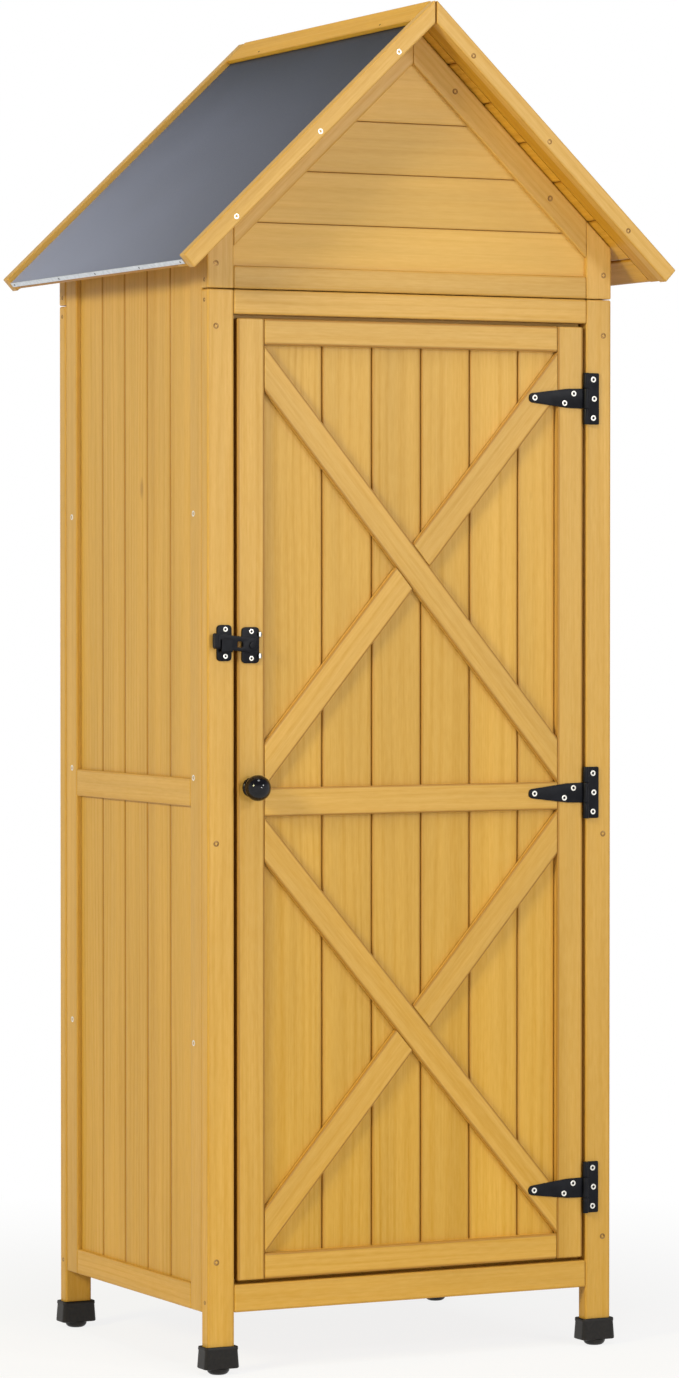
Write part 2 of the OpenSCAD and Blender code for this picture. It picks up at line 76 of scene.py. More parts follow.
# Closed surface from a grid of rings, row after row along a path, each ring anticlockwise seen from ahead;
# looped joins the last row to the first instead of closing the two ends with a face
def tube(grid, looped=False):
    rows, cols = grid.shape[:2]
    row, col = np.meshgrid(np.arange(rows if looped else rows - 1), np.arange(cols), indexing="ij")
    nextRow = (row + 1) % rows
    nextCol = (col + 1) % cols
    quads = np.stack([row * cols + col, row * cols + nextCol,
                      nextRow * cols + nextCol, nextRow * cols + col], -1)
    ends = [] if looped else [np.arange(cols)[::-1], (rows - 1) * cols + np.arange(cols)]
    return {"points": grid.reshape(-1, 3), "quads": quads.reshape(-1, 4), "ends": ends}


# What a board's points carry for the wood finish
boardLayers = {"grain": ("FLOAT_VECTOR", "vector"), "tone": ("FLOAT", "value"), "edge": ("FLOAT", "value")}
smoothUnder = np.radians(38.0)  # corners sharper than this stay crisp


# One mesh from several parts, on a body, standing for CAD nodes
def makePiece(name, parts, finish, body, nodes):
    starts = np.cumsum([0] + [len(part["points"]) for part in parts])
    faces = []
    for part, first in zip(parts, starts):
        faces += (part["quads"] + first).tolist()
        faces += [(end + first).tolist() for end in part["ends"]]
    mesh = bpy.data.meshes.new(name)
    mesh.from_pydata(np.concatenate([part["points"] for part in parts]).tolist(), [], faces)
    for key, (kind, field) in boardLayers.items():
        if all(key in part for part in parts):
            layer = mesh.attributes.new(key, kind, "POINT")
            values = np.concatenate([part[key] for part in parts])
            layer.data.foreach_set(field, values.astype(np.float32).ravel())
    mesh.materials.append(finish)
    mesh.shade_smooth()
    mesh.set_sharp_from_angle(angle=smoothUnder)
    piece = bpy.data.objects.new(name, mesh)
    bpy.context.collection.objects.link(piece)
    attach(piece, body)
    if nodes:
        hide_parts(*nodes)


# Boards: eased edges, each board's own place in the log, and the joints between tongued boards
boardEase = {"radius": 0.0022, "steps": 4, "hold": 0.0016}
logSpread = {"along": 20.0, "across": 0.05, "near": 0.012, "far": 0.065, "tone": 0.17}
tongueJoint = {"inset": 0.0027, "drop": 0.0019, "slot": 0.0005}
shallowJoint = {"inset": 0.0012, "drop": 0.0007, "slot": 0.0002}


# Rounded rectangle: four corner centres plus quarter circles, with one more point on the flat beside each
# quarter so the flats shade flat; shrink pulls a whole row of the ring inward
def roundedRings(width, thick, radius, shrink):
    quarter = np.linspace(0.0, np.pi / 2, boardEase["steps"] + 1)
    angle = quarter + np.pi / 2 * np.arange(4)[:, None]
    signs = np.array([[1, 1], [-1, 1], [-1, -1], [1, -1]])
    centre = signs * (np.array([width, thick]) / 2 - radius)
    spoke = np.stack([np.cos(angle), np.sin(angle)], -1)
    sweep = np.stack([-np.sin(angle), np.cos(angle)], -1)
    arc = centre[None, :, None] + (radius - shrink)[:, None, None, None] * spoke[None]
    hold = np.minimum(boardEase["hold"], (np.array([thick, width]) - 2 * radius) * 0.3)
    before = arc[:, :, :1] - (hold[[0, 1, 0, 1]][:, None] * sweep[:, 0])[None, :, None]
    after = arc[:, :, -1:] + (hold[[1, 0, 1, 0]][:, None] * sweep[:, -1])[None, :, None]
    return np.concatenate([before, arc, after], axis=2).reshape(len(shrink), -1, 2)


# How far an end cut by a plane of this normal runs on for each step across and through the board
def slantOf(cut, along, across, face):
    if cut is None:
        return np.zeros(2)
    return -np.array([np.dot(cut, across), np.dot(cut, face)]) / np.dot(cut, along)


# Rings carried along a straight line, the first rows following the start cut and the last the end cut;
# grain is the same place measured inside a log of the board's own
def carryWood(start, along, face, rows, rings, edge, startCut, endCut):
    along, face = unit(along), unit(face)
    across = np.cross(face, along)
    far = (np.arange(len(rows)) >= len(rows) // 2)[:, None]
    startLean = rings @ slantOf(startCut, along, across, face)
    endLean = rings @ slantOf(endCut, along, across, face)
    run = rows[:, None] + np.where(far, endLean, startLean)
    grid = np.asarray(start) + run[..., None] * along + rings[..., :1] * across + rings[..., 1:] * face
    part = tube(grid)
    log = np.array([chance.uniform(0.0, logSpread["along"]),
                    chance.uniform(-1.0, 1.0) * logSpread["across"],
                    chance.uniform(logSpread["near"], logSpread["far"])])
    part["grain"] = (np.stack([run, rings[..., 0], rings[..., 1]], -1) + log).reshape(-1, 3)
    part["tone"] = np.full(len(part["points"]), np.clip(chance.normal(0.5, logSpread["tone"]), 0.0, 1.0))
    part["edge"] = edge.reshape(-1)
    return part


# Sawn board: a rounded rectangle carried along its length, drawn in by a quarter circle at both ends; the
# long sides named last, 1 or -1 across, are painted dark brown as the shade of a narrow gap
def board(start, along, face, length, width, thick, radius=boardEase["radius"], startCut=None, endCut=None,
          gapShade=()):
    turn = np.linspace(0.15, np.pi / 2, boardEase["steps"] + 1)
    inward = np.append(radius * (1.0 - np.sin(turn)), 0.0)
    onward = np.append(radius * (1.0 - np.cos(turn)), radius + boardEase["hold"])
    rows = np.concatenate([onward, length - onward[::-1]])
    shrink = np.concatenate([inward, inward[::-1]])
    rings = roundedRings(width, thick, radius, shrink)
    corner = np.tile(np.array([0.0] + [1.0] * (boardEase["steps"] + 1) + [0.0]), 4)
    for side in gapShade:
        first = 0 if side > 0 else len(corner) // 2
        corner[[first, first - 1]] = 2.0
    edge = np.maximum(corner[None], (shrink / radius)[:, None])
    return carryWood(start, along, face, rows, rings, edge, startCut, endCut)


# Tongued board: square back, a narrow slot over the tongue, and a quarter ellipse down both face edges
def plank(start, along, face, length, width, thick, startCut=None, endCut=None, joint=tongueJoint):
    half, back = width / 2, thick / 2
    inset, drop, slot = joint["inset"], joint["drop"], joint["slot"]
    turn = np.linspace(0.0, np.pi / 2, 5)
    over = np.stack([half - slot - inset * (1.0 - np.cos(turn)), back - drop * (1.0 - np.sin(turn))], -1)
    foot = np.array([[half, -back], [half, 0.1 * back], [half - slot, 0.2 * back]])
    hold = np.array([[half - slot - inset - 0.002, back]])
    right = np.concatenate([foot, over, hold])
    ring = np.concatenate([right, right[::-1] * [-1.0, 1.0]])
    marks = np.array([0.0, 1.0, 1.0, 1.0, 1.0, 0.9, 0.6, 0.3, 0.0])
    edge = np.tile(np.concatenate([marks, marks[::-1]]), (2, 1))
    rings = np.stack([ring, ring])
    return carryWood(start, along, face, np.array([0.0, length]), rings, edge, startCut, endCut)


# Board that fills a box; along is the number of the axis it runs on
def boxBoard(low, high, along, face, radius=boardEase["radius"], gapShade=()):
    low, high = np.array(low, float), np.array(high, float)
    start = (low + high) / 2
    start[along] = low[along]
    through = int(np.argmax(np.abs(face)))
    size = high - low
    across = size[3 - along - through]
    return board(start, np.eye(3)[along], face, size[along], across, size[through], radius, gapShade=gapShade)


# Row of tongued boards between edges, set side by side
def plankRow(edges, placeAt, along, face, length, thick):
    pairs = zip(edges[:-1], edges[1:])
    return [plank(placeAt((a + b) / 2), along, face, length, b - a, thick) for a, b in pairs]


# Places of the joints at a pitch, with both ends, leaving no board narrower than least
def jointsBetween(low, high, first, pitch, least=0.020):
    count = np.arange(-20, 21)
    joints = first + pitch * count
    inside = joints[(joints > low + least) & (joints < high - least)]
    return np.concatenate([[low], inside, [high]])


# Outline with its corners eased by a quadratic curve from one side of the corner to the other
def easedOutline(corners, radius, steps=5):
    corners = np.asarray(corners, float)
    radius = np.broadcast_to(np.asarray(radius, float), len(corners))[:, None]
    toLast = np.roll(corners, 1, axis=0) - corners
    toNext = np.roll(corners, -1, axis=0) - corners
    a = corners + radius * toLast / np.linalg.norm(toLast, axis=1, keepdims=True)
    b = corners + radius * toNext / np.linalg.norm(toNext, axis=1, keepdims=True)
    u = np.linspace(0.0, 1.0, steps)[None, :, None]
    curve = (1 - u) ** 2 * a[:, None] + 2 * u * (1 - u) * corners[:, None] + u ** 2 * b[:, None]
    return curve.reshape(-1, 2)


# Offset of each outline point along the bisector of its two edges
def mitres(outline):
    ahead = np.roll(outline, -1, axis=0) - outline
    normal = np.stack([ahead[:, 1], -ahead[:, 0]], -1)
    normal = normal / np.maximum(np.linalg.norm(normal, axis=1, keepdims=True), 1e-9)
    before = np.roll(normal, 1, axis=0)
    return (normal + before) / (1.0 + np.sum(normal * before, axis=1, keepdims=True))


# Plate: an outline carried forward through its thickness, its front edge a quarter circle
def plate(outline, origin, thick, ease):
    turn = np.linspace(0.0, np.pi / 2, 4)
    inset = np.append(0.0, ease * (1.0 - np.cos(turn)))
    height = np.append(0.0, thick - ease * (1.0 - np.sin(turn)))
    rings = outline[None] - inset[:, None, None] * mitres(outline)[None]
    grid = np.asarray(origin) + rings[..., :1] * xAxis + rings[..., 1:] * zAxis
    return tube(grid - height[:, None, None] * yAxis)


# Turned shape: a profile of radius and height swept once round an axis; star pulls a row in four times
# in a turn
def turned(profile, origin, axis, around, star=None, twist=0.0):
    axis = unit(axis)
    helper = zAxis if abs(axis[2]) < 0.9 else xAxis
    v = unit(helper - axis * np.dot(helper, axis))
    u = np.cross(v, axis)
    theta = np.linspace(0.0, 2 * np.pi, around, endpoint=False)
    profile = np.asarray(profile, float)
    pull = np.zeros(len(profile)) if star is None else np.asarray(star, float)
    radius = profile[:, :1] * (1.0 + pull[:, None] * np.cos(4 * (theta + twist))[None])
    spoke = np.cos(theta)[:, None] * u + np.sin(theta)[:, None] * v
    return tube(np.asarray(origin) + radius[..., None] * spoke[None] + profile[:, 1:, None] * axis)


# Screws: countersunk heads with a cross recess
screwHead = {"radius": 0.0041, "proud": 0.00025, "around": 20}


def screw(place, axis, size=1.0):
    r = screwHead["radius"] * size
    top = screwHead["proud"]
    profile = [(0.2 * r, -0.0012), (0.9 * r, -0.0012), (r, -0.0002), (0.97 * r, 0.6 * top), (0.86 * r, top),
               (0.56 * r, 0.9 * top), (0.44 * r, 0.4 * top), (0.38 * r, -0.0008), (0.12 * r, -0.0011)]
    star = [0.0, 0.0, 0.0, 0.0, 0.0, 0.0, 0.22, 0.30, 0.0]
    part = turned(profile, place, axis, screwHead["around"], star, chance.uniform(0.0, 1.5))
    # painted shade: half at the rim crease, full in the cross recess
    deep = np.array([0.0, 0.0, 0.5, 0.0, 0.0, 0.0, 0.9, 1.0, 1.0])
    part["edge"] = np.repeat(deep, screwHead["around"])
    return part


# Small domed nail
def nail(place, axis, radius):
    turn = np.linspace(0.0, 1.45, 5)
    dome = np.stack([radius * np.cos(turn), 0.45 * radius * np.sin(turn)], -1)
    part = turned(np.concatenate([[(0.3 * radius, -0.0008), (radius, -0.0008)], dome]), place, axis, 12)
    part["edge"] = np.full(len(part["points"]), 0.15)
    return part


# Shader helpers
def put(tree, kind, feeds=None, **settings):
    node = tree.nodes.new(kind)
    for key, value in settings.items():
        setattr(node, key, value)
    for key, value in (feeds or {}).items():
        if isinstance(value, bpy.types.NodeSocket):
            tree.links.new(value, node.inputs[key])
        else:
            node.inputs[key].default_value = value
    return node


def maths(tree, operation, *values):
    return put(tree, "ShaderNodeMath", dict(enumerate(values)), operation=operation).outputs[0]


def mixColour(tree, amount, first, second):
    return put(tree, "ShaderNodeMix", {0: amount, 6: first, 7: second}, data_type="RGBA").outputs[2]


def span(tree, value, low, high, toLow, toHigh):
    feeds = {"Value": value, "From Min": low, "From Max": high, "To Min": toLow, "To Max": toHigh}
    return put(tree, "ShaderNodeMapRange", feeds).outputs[0]


def noise(tree, vector, scale, detail, rough=0.5):
    feeds = {"Vector": vector, "Scale": scale, "Detail": detail, "Roughness": rough}
    return put(tree, "ShaderNodeTexNoise", feeds).outputs[0]


def drawnOut(tree, vector, stretch):
    return put(tree, "ShaderNodeVectorMath", {0: vector, 1: stretch}, operation="MULTIPLY").outputs[0]


def objectPlace(tree):
    return put(tree, "ShaderNodeTexCoord").outputs["Object"]


def layerOf(tree, name, output="Fac"):
    return put(tree, "ShaderNodeAttribute", attribute_name=name).outputs[output]


def newGroup(name, inputs, outputs):
    group = bpy.data.node_groups.new(name, "ShaderNodeTree")
    for label, kind in inputs:
        group.interface.new_socket(name=label, in_out="INPUT", socket_type=kind)
    for label, kind in outputs:
        group.interface.new_socket(name=label, in_out="OUTPUT", socket_type=kind)
    return group, group.nodes.new("NodeGroupInput"), group.nodes.new("NodeGroupOutput")


def newFinish(name):
    finish = bpy.data.materials.new(name)
    finish.use_nodes = True
    tree = finish.node_tree
    return finish, tree, tree.nodes["Principled BSDF"]


# Colour, roughness, gloss and a fine bump, put into a finish's shader
def dress(tree, shader, colour, rough, gloss, height, strength, distance):
    tree.links.new(colour, shader.inputs["Base Color"])
    tree.links.new(rough, shader.inputs["Roughness"])
    shader.inputs["Specular IOR Level"].default_value = gloss
    bump = put(tree, "ShaderNodeBump", {"Height": height, "Strength": strength, "Distance": distance})
    tree.links.new(bump.outputs[0], shader.inputs["Normal"])


# Softwood: growth rings are the distance from the log's heart, wandering along its length; fibres are noise
# drawn out along the grain; knots are rare cells of a stretched Voronoi; shade is a slow change of tone
logGrowth = {"slow": (1.1, 9.0, 9.0), "wander": 0.022, "lateWood": 2.2, "strength": (2.0, 60.0, 60.0),
             "fibres": (5.0, 420.0, 420.0), "mottle": (48.0, 330.0, 330.0), "cells": (5.0, 13.0, 13.0),
             "knotless": 0.88, "knotSize": (0.03, 0.09), "shade": (1.6, 24.0, 24.0)}


def growthGroup():
    inputs = [("Grain", "NodeSocketVector"), ("Ring Width", "NodeSocketFloat")]
    labels = ("Rings", "Fibres", "Mottle", "Knots", "Shade")
    group, entry, leave = newGroup("growthRings", inputs, [(label, "NodeSocketFloat") for label in labels])
    grain = entry.outputs["Grain"]

    def drawn(key, detail, rough=0.5):
        return noise(group, drawnOut(group, grain, logGrowth[key]), 1.0, detail, rough)

    parts = put(group, "ShaderNodeSeparateXYZ", {0: grain})
    wander = span(group, drawn("slow", 2.0), 0.0, 1.0, -logGrowth["wander"], logGrowth["wander"])
    aside = maths(group, "ADD", parts.outputs[1], wander)
    heart = put(group, "ShaderNodeCombineXYZ", {1: aside, 2: parts.outputs[2]}).outputs[0]
    radius = put(group, "ShaderNodeVectorMath", {0: heart}, operation="LENGTH").outputs["Value"]
    turns = maths(group, "DIVIDE", radius, entry.outputs["Ring Width"])
    wave = maths(group, "SINE", maths(group, "MULTIPLY", turns, 6.2832))
    late = maths(group, "POWER", span(group, wave, -1.0, 1.0, 0.0, 1.0), logGrowth["lateWood"])
    rings = maths(group, "MULTIPLY", late, span(group, drawn("strength", 1.0), 0.3, 0.7, 0.25, 1.0))
    fibres = drawn("fibres", 3.0, 0.6)
    mottle = drawn("mottle", 2.0, 0.55)
    spread = drawnOut(group, grain, logGrowth["cells"])
    cells = put(group, "ShaderNodeTexVoronoi", {"Vector": spread, "Scale": 1.0})
    lot = put(group, "ShaderNodeSeparateColor", {0: cells.outputs["Color"]}).outputs[0]
    rare = maths(group, "GREATER_THAN", lot, logGrowth["knotless"])
    near = span(group, cells.outputs["Distance"], *logGrowth["knotSize"], 1.0, 0.0)
    knots = maths(group, "MULTIPLY", rare, near)
    for label, value in zip(labels, (rings, fibres, mottle, knots, drawn("shade", 2.0))):
        group.links.new(value, leave.inputs[label])
    return group


growthRings = growthGroup()


# Stained and varnished softwood: pale early wood, browner late wood, stain gathered in joints and on edges,
# painted shade on edges marked as lying in a narrow gap, and deeper toward the ground
def woodFinish(name, look):
    finish, tree, shader = newFinish(name)
    edge = layerOf(tree, "edge")
    feeds = {"Grain": layerOf(tree, "grain", "Vector"), "Ring Width": look["ringWidth"]}
    growth = put(tree, "ShaderNodeGroup", feeds, node_tree=growthRings).outputs
    fibres = span(tree, growth["Fibres"], 0.3, 0.7, 0.0, 1.0)
    streak = maths(tree, "ADD", maths(tree, "MULTIPLY", growth["Rings"], look["ringShow"]),
                   maths(tree, "MULTIPLY", fibres, look["fibreShow"]))
    fleck = span(tree, growth["Mottle"], 0.3, 0.7, 0.0, look["mottleShow"])
    colour = mixColour(tree, maths(tree, "ADD", streak, fleck), look["early"], look["late"])
    own = span(tree, layerOf(tree, "tone"), 0.0, 1.0, -look["boardVary"], look["boardVary"])
    slow = span(tree, growth["Shade"], 0.3, 0.7, -look["slowVary"], look["slowVary"])
    lift = maths(tree, "ADD", maths(tree, "ADD", own, slow), 1.0)
    high = put(tree, "ShaderNodeSeparateXYZ", {0: objectPlace(tree)}).outputs[2]
    feeds = {"Saturation": span(tree, high, *look["deepen"]), "Value": lift, "Color": colour}
    colour = put(tree, "ShaderNodeHueSaturation", feeds).outputs[0]
    knotted = maths(tree, "MULTIPLY", growth["Knots"], look["knotShow"])
    colour = mixColour(tree, knotted, colour, look["knot"])
    stained = maths(tree, "MULTIPLY", maths(tree, "MINIMUM", edge, 1.0), look["edgeShow"])
    colour = mixColour(tree, stained, colour, look["edge"])
    # edge values above one carry painted shade: the dark brown of a narrow gap
    gapShade = maths(tree, "MAXIMUM", maths(tree, "SUBTRACT", edge, 1.0), 0.0)
    colour = mixColour(tree, gapShade, colour, look["gapShade"])
    rough = span(tree, fibres, 0.0, 1.0, look["rough"] - 0.06, look["rough"] + 0.08)
    height = maths(tree, "ADD", maths(tree, "MULTIPLY", fibres, 0.6),
                   maths(tree, "MULTIPLY", growth["Rings"], -0.5))
    dress(tree, shader, colour, rough, look["gloss"], height, 0.22, 0.0005)
    return finish


# deepen is two heights and the saturation at each
# one colour here is painted shade, the dark brown of a narrow gap, laid on marked edges
frameWood = {"early": (0.672, 0.415, 0.122, 1), "late": (0.51, 0.26, 0.020, 1),
             "knot": (0.22, 0.085, 0.006, 1), "edge": (0.50, 0.245, 0.020, 1),
             "gapShade": (0.22, 0.088, 0.010, 1), "ringWidth": 0.0075, "ringShow": 0.26, "fibreShow": 0.24,
             "mottleShow": 0.22, "knotShow": 0.45, "boardVary": 0.06, "slowVary": 0.07,
             "deepen": (0.1, 1.3, 1.05, 0.975), "edgeShow": 0.35, "rough": 0.42, "gloss": 0.30}
boardWood = dict(frameWood, early=(0.668, 0.408, 0.102, 1), edge=(0.30, 0.11, 0.006, 1), ringShow=0.34,
                 edgeShow=0.62, boardVary=0.10, rough=0.44)
# door wood: stain gathered on the frame's edges, made darker as painted shade where the frame meets the
# boards
doorEdgeShadeWood = dict(frameWood, edge=(0.28, 0.11, 0.008, 1), edgeShow=0.62)
gableWood = dict(boardWood, ringShow=0.16, mottleShow=0.16, fibreShow=0.16)
# ridge boards: a brighter copy of the frame wood, painted light for their upward faces
ridgeWoodLit = dict(frameWood, early=(0.80, 0.44, 0.030, 1), late=(0.62, 0.29, 0.008, 1))
# soffit boards get a darker, less blue copy and deck planks a less blue copy, both painted shade for the
# roof's undersides
soffitWoodShaded = dict(frameWood, early=(0.55, 0.29, 0.014, 1), late=(0.42, 0.18, 0.004, 1))
deckWoodShaded = dict(boardWood, early=(0.69, 0.375, 0.030, 1), late=(0.52, 0.24, 0.008, 1))
woodFrame = woodFinish("woodFrame", frameWood)
woodBoards = woodFinish("woodBoards", boardWood)
woodDoorEdgeShade = woodFinish("woodDoorEdgeShade", doorEdgeShadeWood)
woodGable = woodFinish("woodGable", gableWood)
woodRidgeLit = woodFinish("woodRidgeLit", ridgeWoodLit)
woodSoffitShaded = woodFinish("woodSoffitShaded", soffitWoodShaded)
woodDeckShaded = woodFinish("woodDeckShaded", deckWoodShaded)


# Black coated iron: near-black with a fine orange-peel skin and paler rubbed patches
def ironFinish():
    finish, tree, shader = newFinish("blackIron")
    place = objectPlace(tree)
    skin = noise(tree, place, 900.0, 2.0)
    rubbed = noise(tree, place, 70.0, 4.0)
    amount = span(tree, rubbed, 0.35, 0.75, 0.0, 1.0)
    colour = mixColour(tree, amount, (0.003, 0.0034, 0.006, 1), (0.008, 0.009, 0.014, 1))
    dress(tree, shader, colour, span(tree, rubbed, 0.3, 0.7, 0.34, 0.48), 0.14, skin, 0.12, 0.0004)
    return finish


# Zinc plating with a dull bloom, and painted shade, near-black, in the cross recess and at the rim crease
def zincFinish(name, bright, dull, rough):
    finish, tree, shader = newFinish(name)
    bloom = noise(tree, objectPlace(tree), 160.0, 3.0)
    colour = mixColour(tree, span(tree, bloom, 0.3, 0.7, 0.0, 1.0), bright, dull)
    # painted shade: near-black where the edge mark marks a recess or crease
    colour = mixColour(tree, layerOf(tree, "edge"), colour, (0.02, 0.016, 0.012, 1))
    shader.inputs["Metallic"].default_value = 0.85
    tree.links.new(colour, shader.inputs["Base Color"])
    tree.links.new(span(tree, bloom, 0.3, 0.7, rough, rough + 0.14), shader.inputs["Roughness"])
    return finish


# Roof sheet: fine mineral speckle, faint cloudy weathering, and a painted sheen, paler toward the eaves and
# the back
# the dark colour is painted shade near the ridge and the pale colour painted sheen at the eaves
sheet = {"ridgeZ": 1.76, "eaveZ": 1.45, "dark": (0.029, 0.036, 0.061, 1), "pale": (0.230, 0.258, 0.415, 1),
         "speck": (0.30, 0.31, 0.36, 1), "speckShow": 0.16, "cloudShow": 0.06, "reach": 0.28,
         "frontSheen": 0.56, "backSheen": 1.32, "gloss": 0.22}


def feltFinish():
    finish, tree, shader = newFinish("roofFelt")
    place = objectPlace(tree)
    speck = noise(tree, place, 1400.0, 2.0)
    cloud = noise(tree, place, 7.0, 4.0)
    where = put(tree, "ShaderNodeSeparateXYZ", {0: place}).outputs
    # painted sheen from ridge to eave, with cloudy weathering laid over it
    sheenAndCloud = maths(tree, "ADD", span(tree, where[2], sheet["ridgeZ"], sheet["eaveZ"], 0.0, 1.0),
                   span(tree, cloud, 0.3, 0.7, -sheet["cloudShow"], sheet["cloudShow"]))
    colour = mixColour(tree, sheenAndCloud, sheet["dark"], sheet["pale"])
    # painted sheen, darker toward the front and paler toward the back
    sheenFrontToBack = span(tree, where[1], -sheet["reach"], sheet["reach"], sheet["frontSheen"], sheet["backSheen"])
    colour = put(tree, "ShaderNodeHueSaturation", {"Value": sheenFrontToBack, "Color": colour}).outputs[0]
    colour = mixColour(tree, span(tree, speck, 0.45, 0.75, 0.0, sheet["speckShow"]), colour, sheet["speck"])
    rough = span(tree, cloud, 0.3, 0.7, 0.52, 0.66)
    dress(tree, shader, colour, rough, sheet["gloss"], speck, 0.25, 0.0006)
    return finish


# Moulded plastic: soft mottle under a satin skin
def plasticFinish(name, dark, pale, rough, gloss):
    finish, tree, shader = newFinish(name)
    mottle = noise(tree, objectPlace(tree), 240.0, 3.0)
    colour = mixColour(tree, span(tree, mottle, 0.3, 0.7, 0.0, 1.0), dark, pale)
    skin = span(tree, mottle, 0.3, 0.7, rough, rough + 0.06)
    dress(tree, shader, colour, skin, gloss, mottle, 0.06, 0.0003)
    return finish


blackIron = ironFinish()
zincScrew = zincFinish("zincScrew", (0.86, 0.84, 0.79, 1), (0.70, 0.67, 0.60, 1), 0.30)
dullScrew = zincFinish("dullScrew", (0.42, 0.25, 0.09, 1), (0.20, 0.10, 0.03, 1), 0.42)
zincStrip = zincFinish("zincStrip", (0.70, 0.73, 0.78, 1), (0.56, 0.60, 0.66, 1), 0.34)
roofFelt = feltFinish()
blackKnob = plasticFinish("blackKnob", (0.002, 0.002, 0.004, 1), (0.005, 0.005, 0.009, 1), 0.04, 0.30)
blackPlastic = plasticFinish("blackPlastic", (0.007, 0.006, 0.006, 1), (0.015, 0.013, 0.012, 1), 0.42, 0.28)
print("stage: finishes made")


# Pieces of frame wood, of boards and of black iron, each named after the CAD node it stands for
def framePiece(node, parts, finish=woodFrame, body="shed"):
    makePiece(node + "_wood", parts, finish, body, [node])


def boardPiece(place, parts, finish=woodBoards, body="shed"):
    makePiece(place + "_planks", parts, finish, body, [place + "_boarding"])


def ironPiece(node, parts, body):
    makePiece(node + "_iron", parts, blackIron, body, [node])


# Sizes read off the frame
postBox = boxOf("front_left_post")
halfW = -postBox[0, 0]
bayX = -postBox[1, 0]
frontY = postBox[0, 1]
innerFrontY = postBox[1, 1]
postTop = postBox[1, 2]
innerBackY = boxOf("back_left_post")[0, 1]
backY = boxOf("back_left_post")[1, 1]
wallBottom = boxOf("front_sill")[0, 2]
sillTop = boxOf("front_sill")[1, 2]
headerZ = boxOf("front_header")[0, 2]
boardPitch = 0.073
boardThick = 0.010

roof = {"pitch": np.radians(43.4), "lip": 0.007, "feltEnd": 0.0085, "deckEnd": 0.0195, "barge": 0.022,
        "joint": 0.0013, "mitre": 0.0002, "ridgeBoard": 0.040, "soffitGap": 0.020, "soffitJoint": 0.0008,
        "clear": 0.0002, "sheetGap": 0.0008, "ridgeGap": 0.0010, "sheetEase": 0.0006, "ridgeEase": 0.0012,
        "screwRoom": 0.0004, "leastDeck": 0.02}
tanP, cosP, sinP = np.tan(roof["pitch"]), np.cos(roof["pitch"]), np.sin(roof["pitch"])
bargeBox = boxOf("front_barge_boards")
ridgeZ = bargeBox[1, 2] + roof["joint"] * tanP
slopeLength = bargeBox[1, 0] / cosP
deckFrontY, deckBackY = boxOf("left_roof_deck")[:, 1]


# Height of the plane at a depth below the roof's top face
def planeZ(depth, x):
    return ridgeZ - depth / cosP - abs(x) * tanP


def downOf(side):
    return np.array([side * cosP, 0.0, -sinP])


def outOf(side):
    return np.array([side * sinP, 0.0, cosP])


# Board lying down a slope between two depths below the top face; its head is cut upright at fromX, and its
# foot upright at toX or square at the eave
def slopeBoard(side, depths, ys, face, fromX, toX=None, radius=0.0016):
    depth = (depths[0] + depths[1]) / 2
    start = np.array([side * fromX, (ys[0] + ys[1]) / 2, planeZ(depth, fromX)])
    head = (fromX + depth * sinP) / cosP
    length = slopeLength - head if toX is None else (toX - fromX) / cosP
    tall, wide = depths[1] - depths[0], ys[1] - ys[0]
    width, thick = (tall, wide) if abs(face[1]) > 0.5 else (wide, tall)
    footCut = None if toX is None else xAxis
    return board(start, downOf(side), face, length, width, thick, radius, xAxis, footCut)


# Corner posts, header and sill
postEase = 0.0026
for node in ("front_left_post", "front_right_post", "back_left_post", "back_right_post"):
    low, high = boxOf(node)
    outward = -yAxis if node.startswith("front") else yAxis
    framePiece(node, [boxBoard(low, high, 2, outward, postEase)])
for node in ("front_header", "front_sill"):
    low, high = boxOf(node)
    framePiece(node, [boxBoard(low, high, 0, -yAxis)])
print("stage: posts made")

# Side walls
sideWall = {"midLow": 0.737, "midHigh": 0.774, "rail": 0.034}
rightStiles = boxOf("right_side_stiles")
sideIn, sideOut = rightStiles[0, 0], rightStiles[1, 0]
sideBoards = boxOf("right_side_boarding")
sideFace = sideBoards[1, 0]
stileY0, stileY1 = sideBoards[:, 1]
sideLowZ, sideHighZ = sideBoards[:, 2]
sideMidX = (sideIn + sideOut) / 2
for side, word in ((-1, "left"), (1, "right")):
    face = side * xAxis
    stiles = []
    for y0, y1 in ((innerFrontY, stileY0), (stileY1, innerBackY)):
        foot = (side * sideMidX, (y0 + y1) / 2, wallBottom)
        tall = planeZ(roof["deckEnd"] + roof["clear"], sideMidX) - wallBottom
        stiles.append(board(foot, zAxis, face, tall, y1 - y0, sideOut - sideIn, endCut=outOf(side)))
    framePiece(word + "_side_stiles", stiles)
    rails = []
    for x0, z0, z1 in ((sideIn, wallBottom, sideLowZ), (sideIn, sideHighZ, sideHighZ + sideWall["rail"]),
                       (sideFace, sideWall["midLow"], sideWall["midHigh"])):
        xs = sorted((side * x0, side * sideOut))
        rails.append(boxBoard((xs[0], stileY0, z0), (xs[1], stileY1, z1), 1, face))
    framePiece(word + "_side_rails", rails)
    edges = jointsBetween(stileY0, stileY1, (stileY0 + stileY1) / 2 + boardPitch / 2, boardPitch)
    boards = plankRow(edges, lambda y: (side * (sideFace - boardThick / 2), y, sideLowZ), zAxis, face,
                      sideHighZ - sideLowZ, boardThick)
    boardPiece(word + "_side", boards)
print("stage: side walls made")

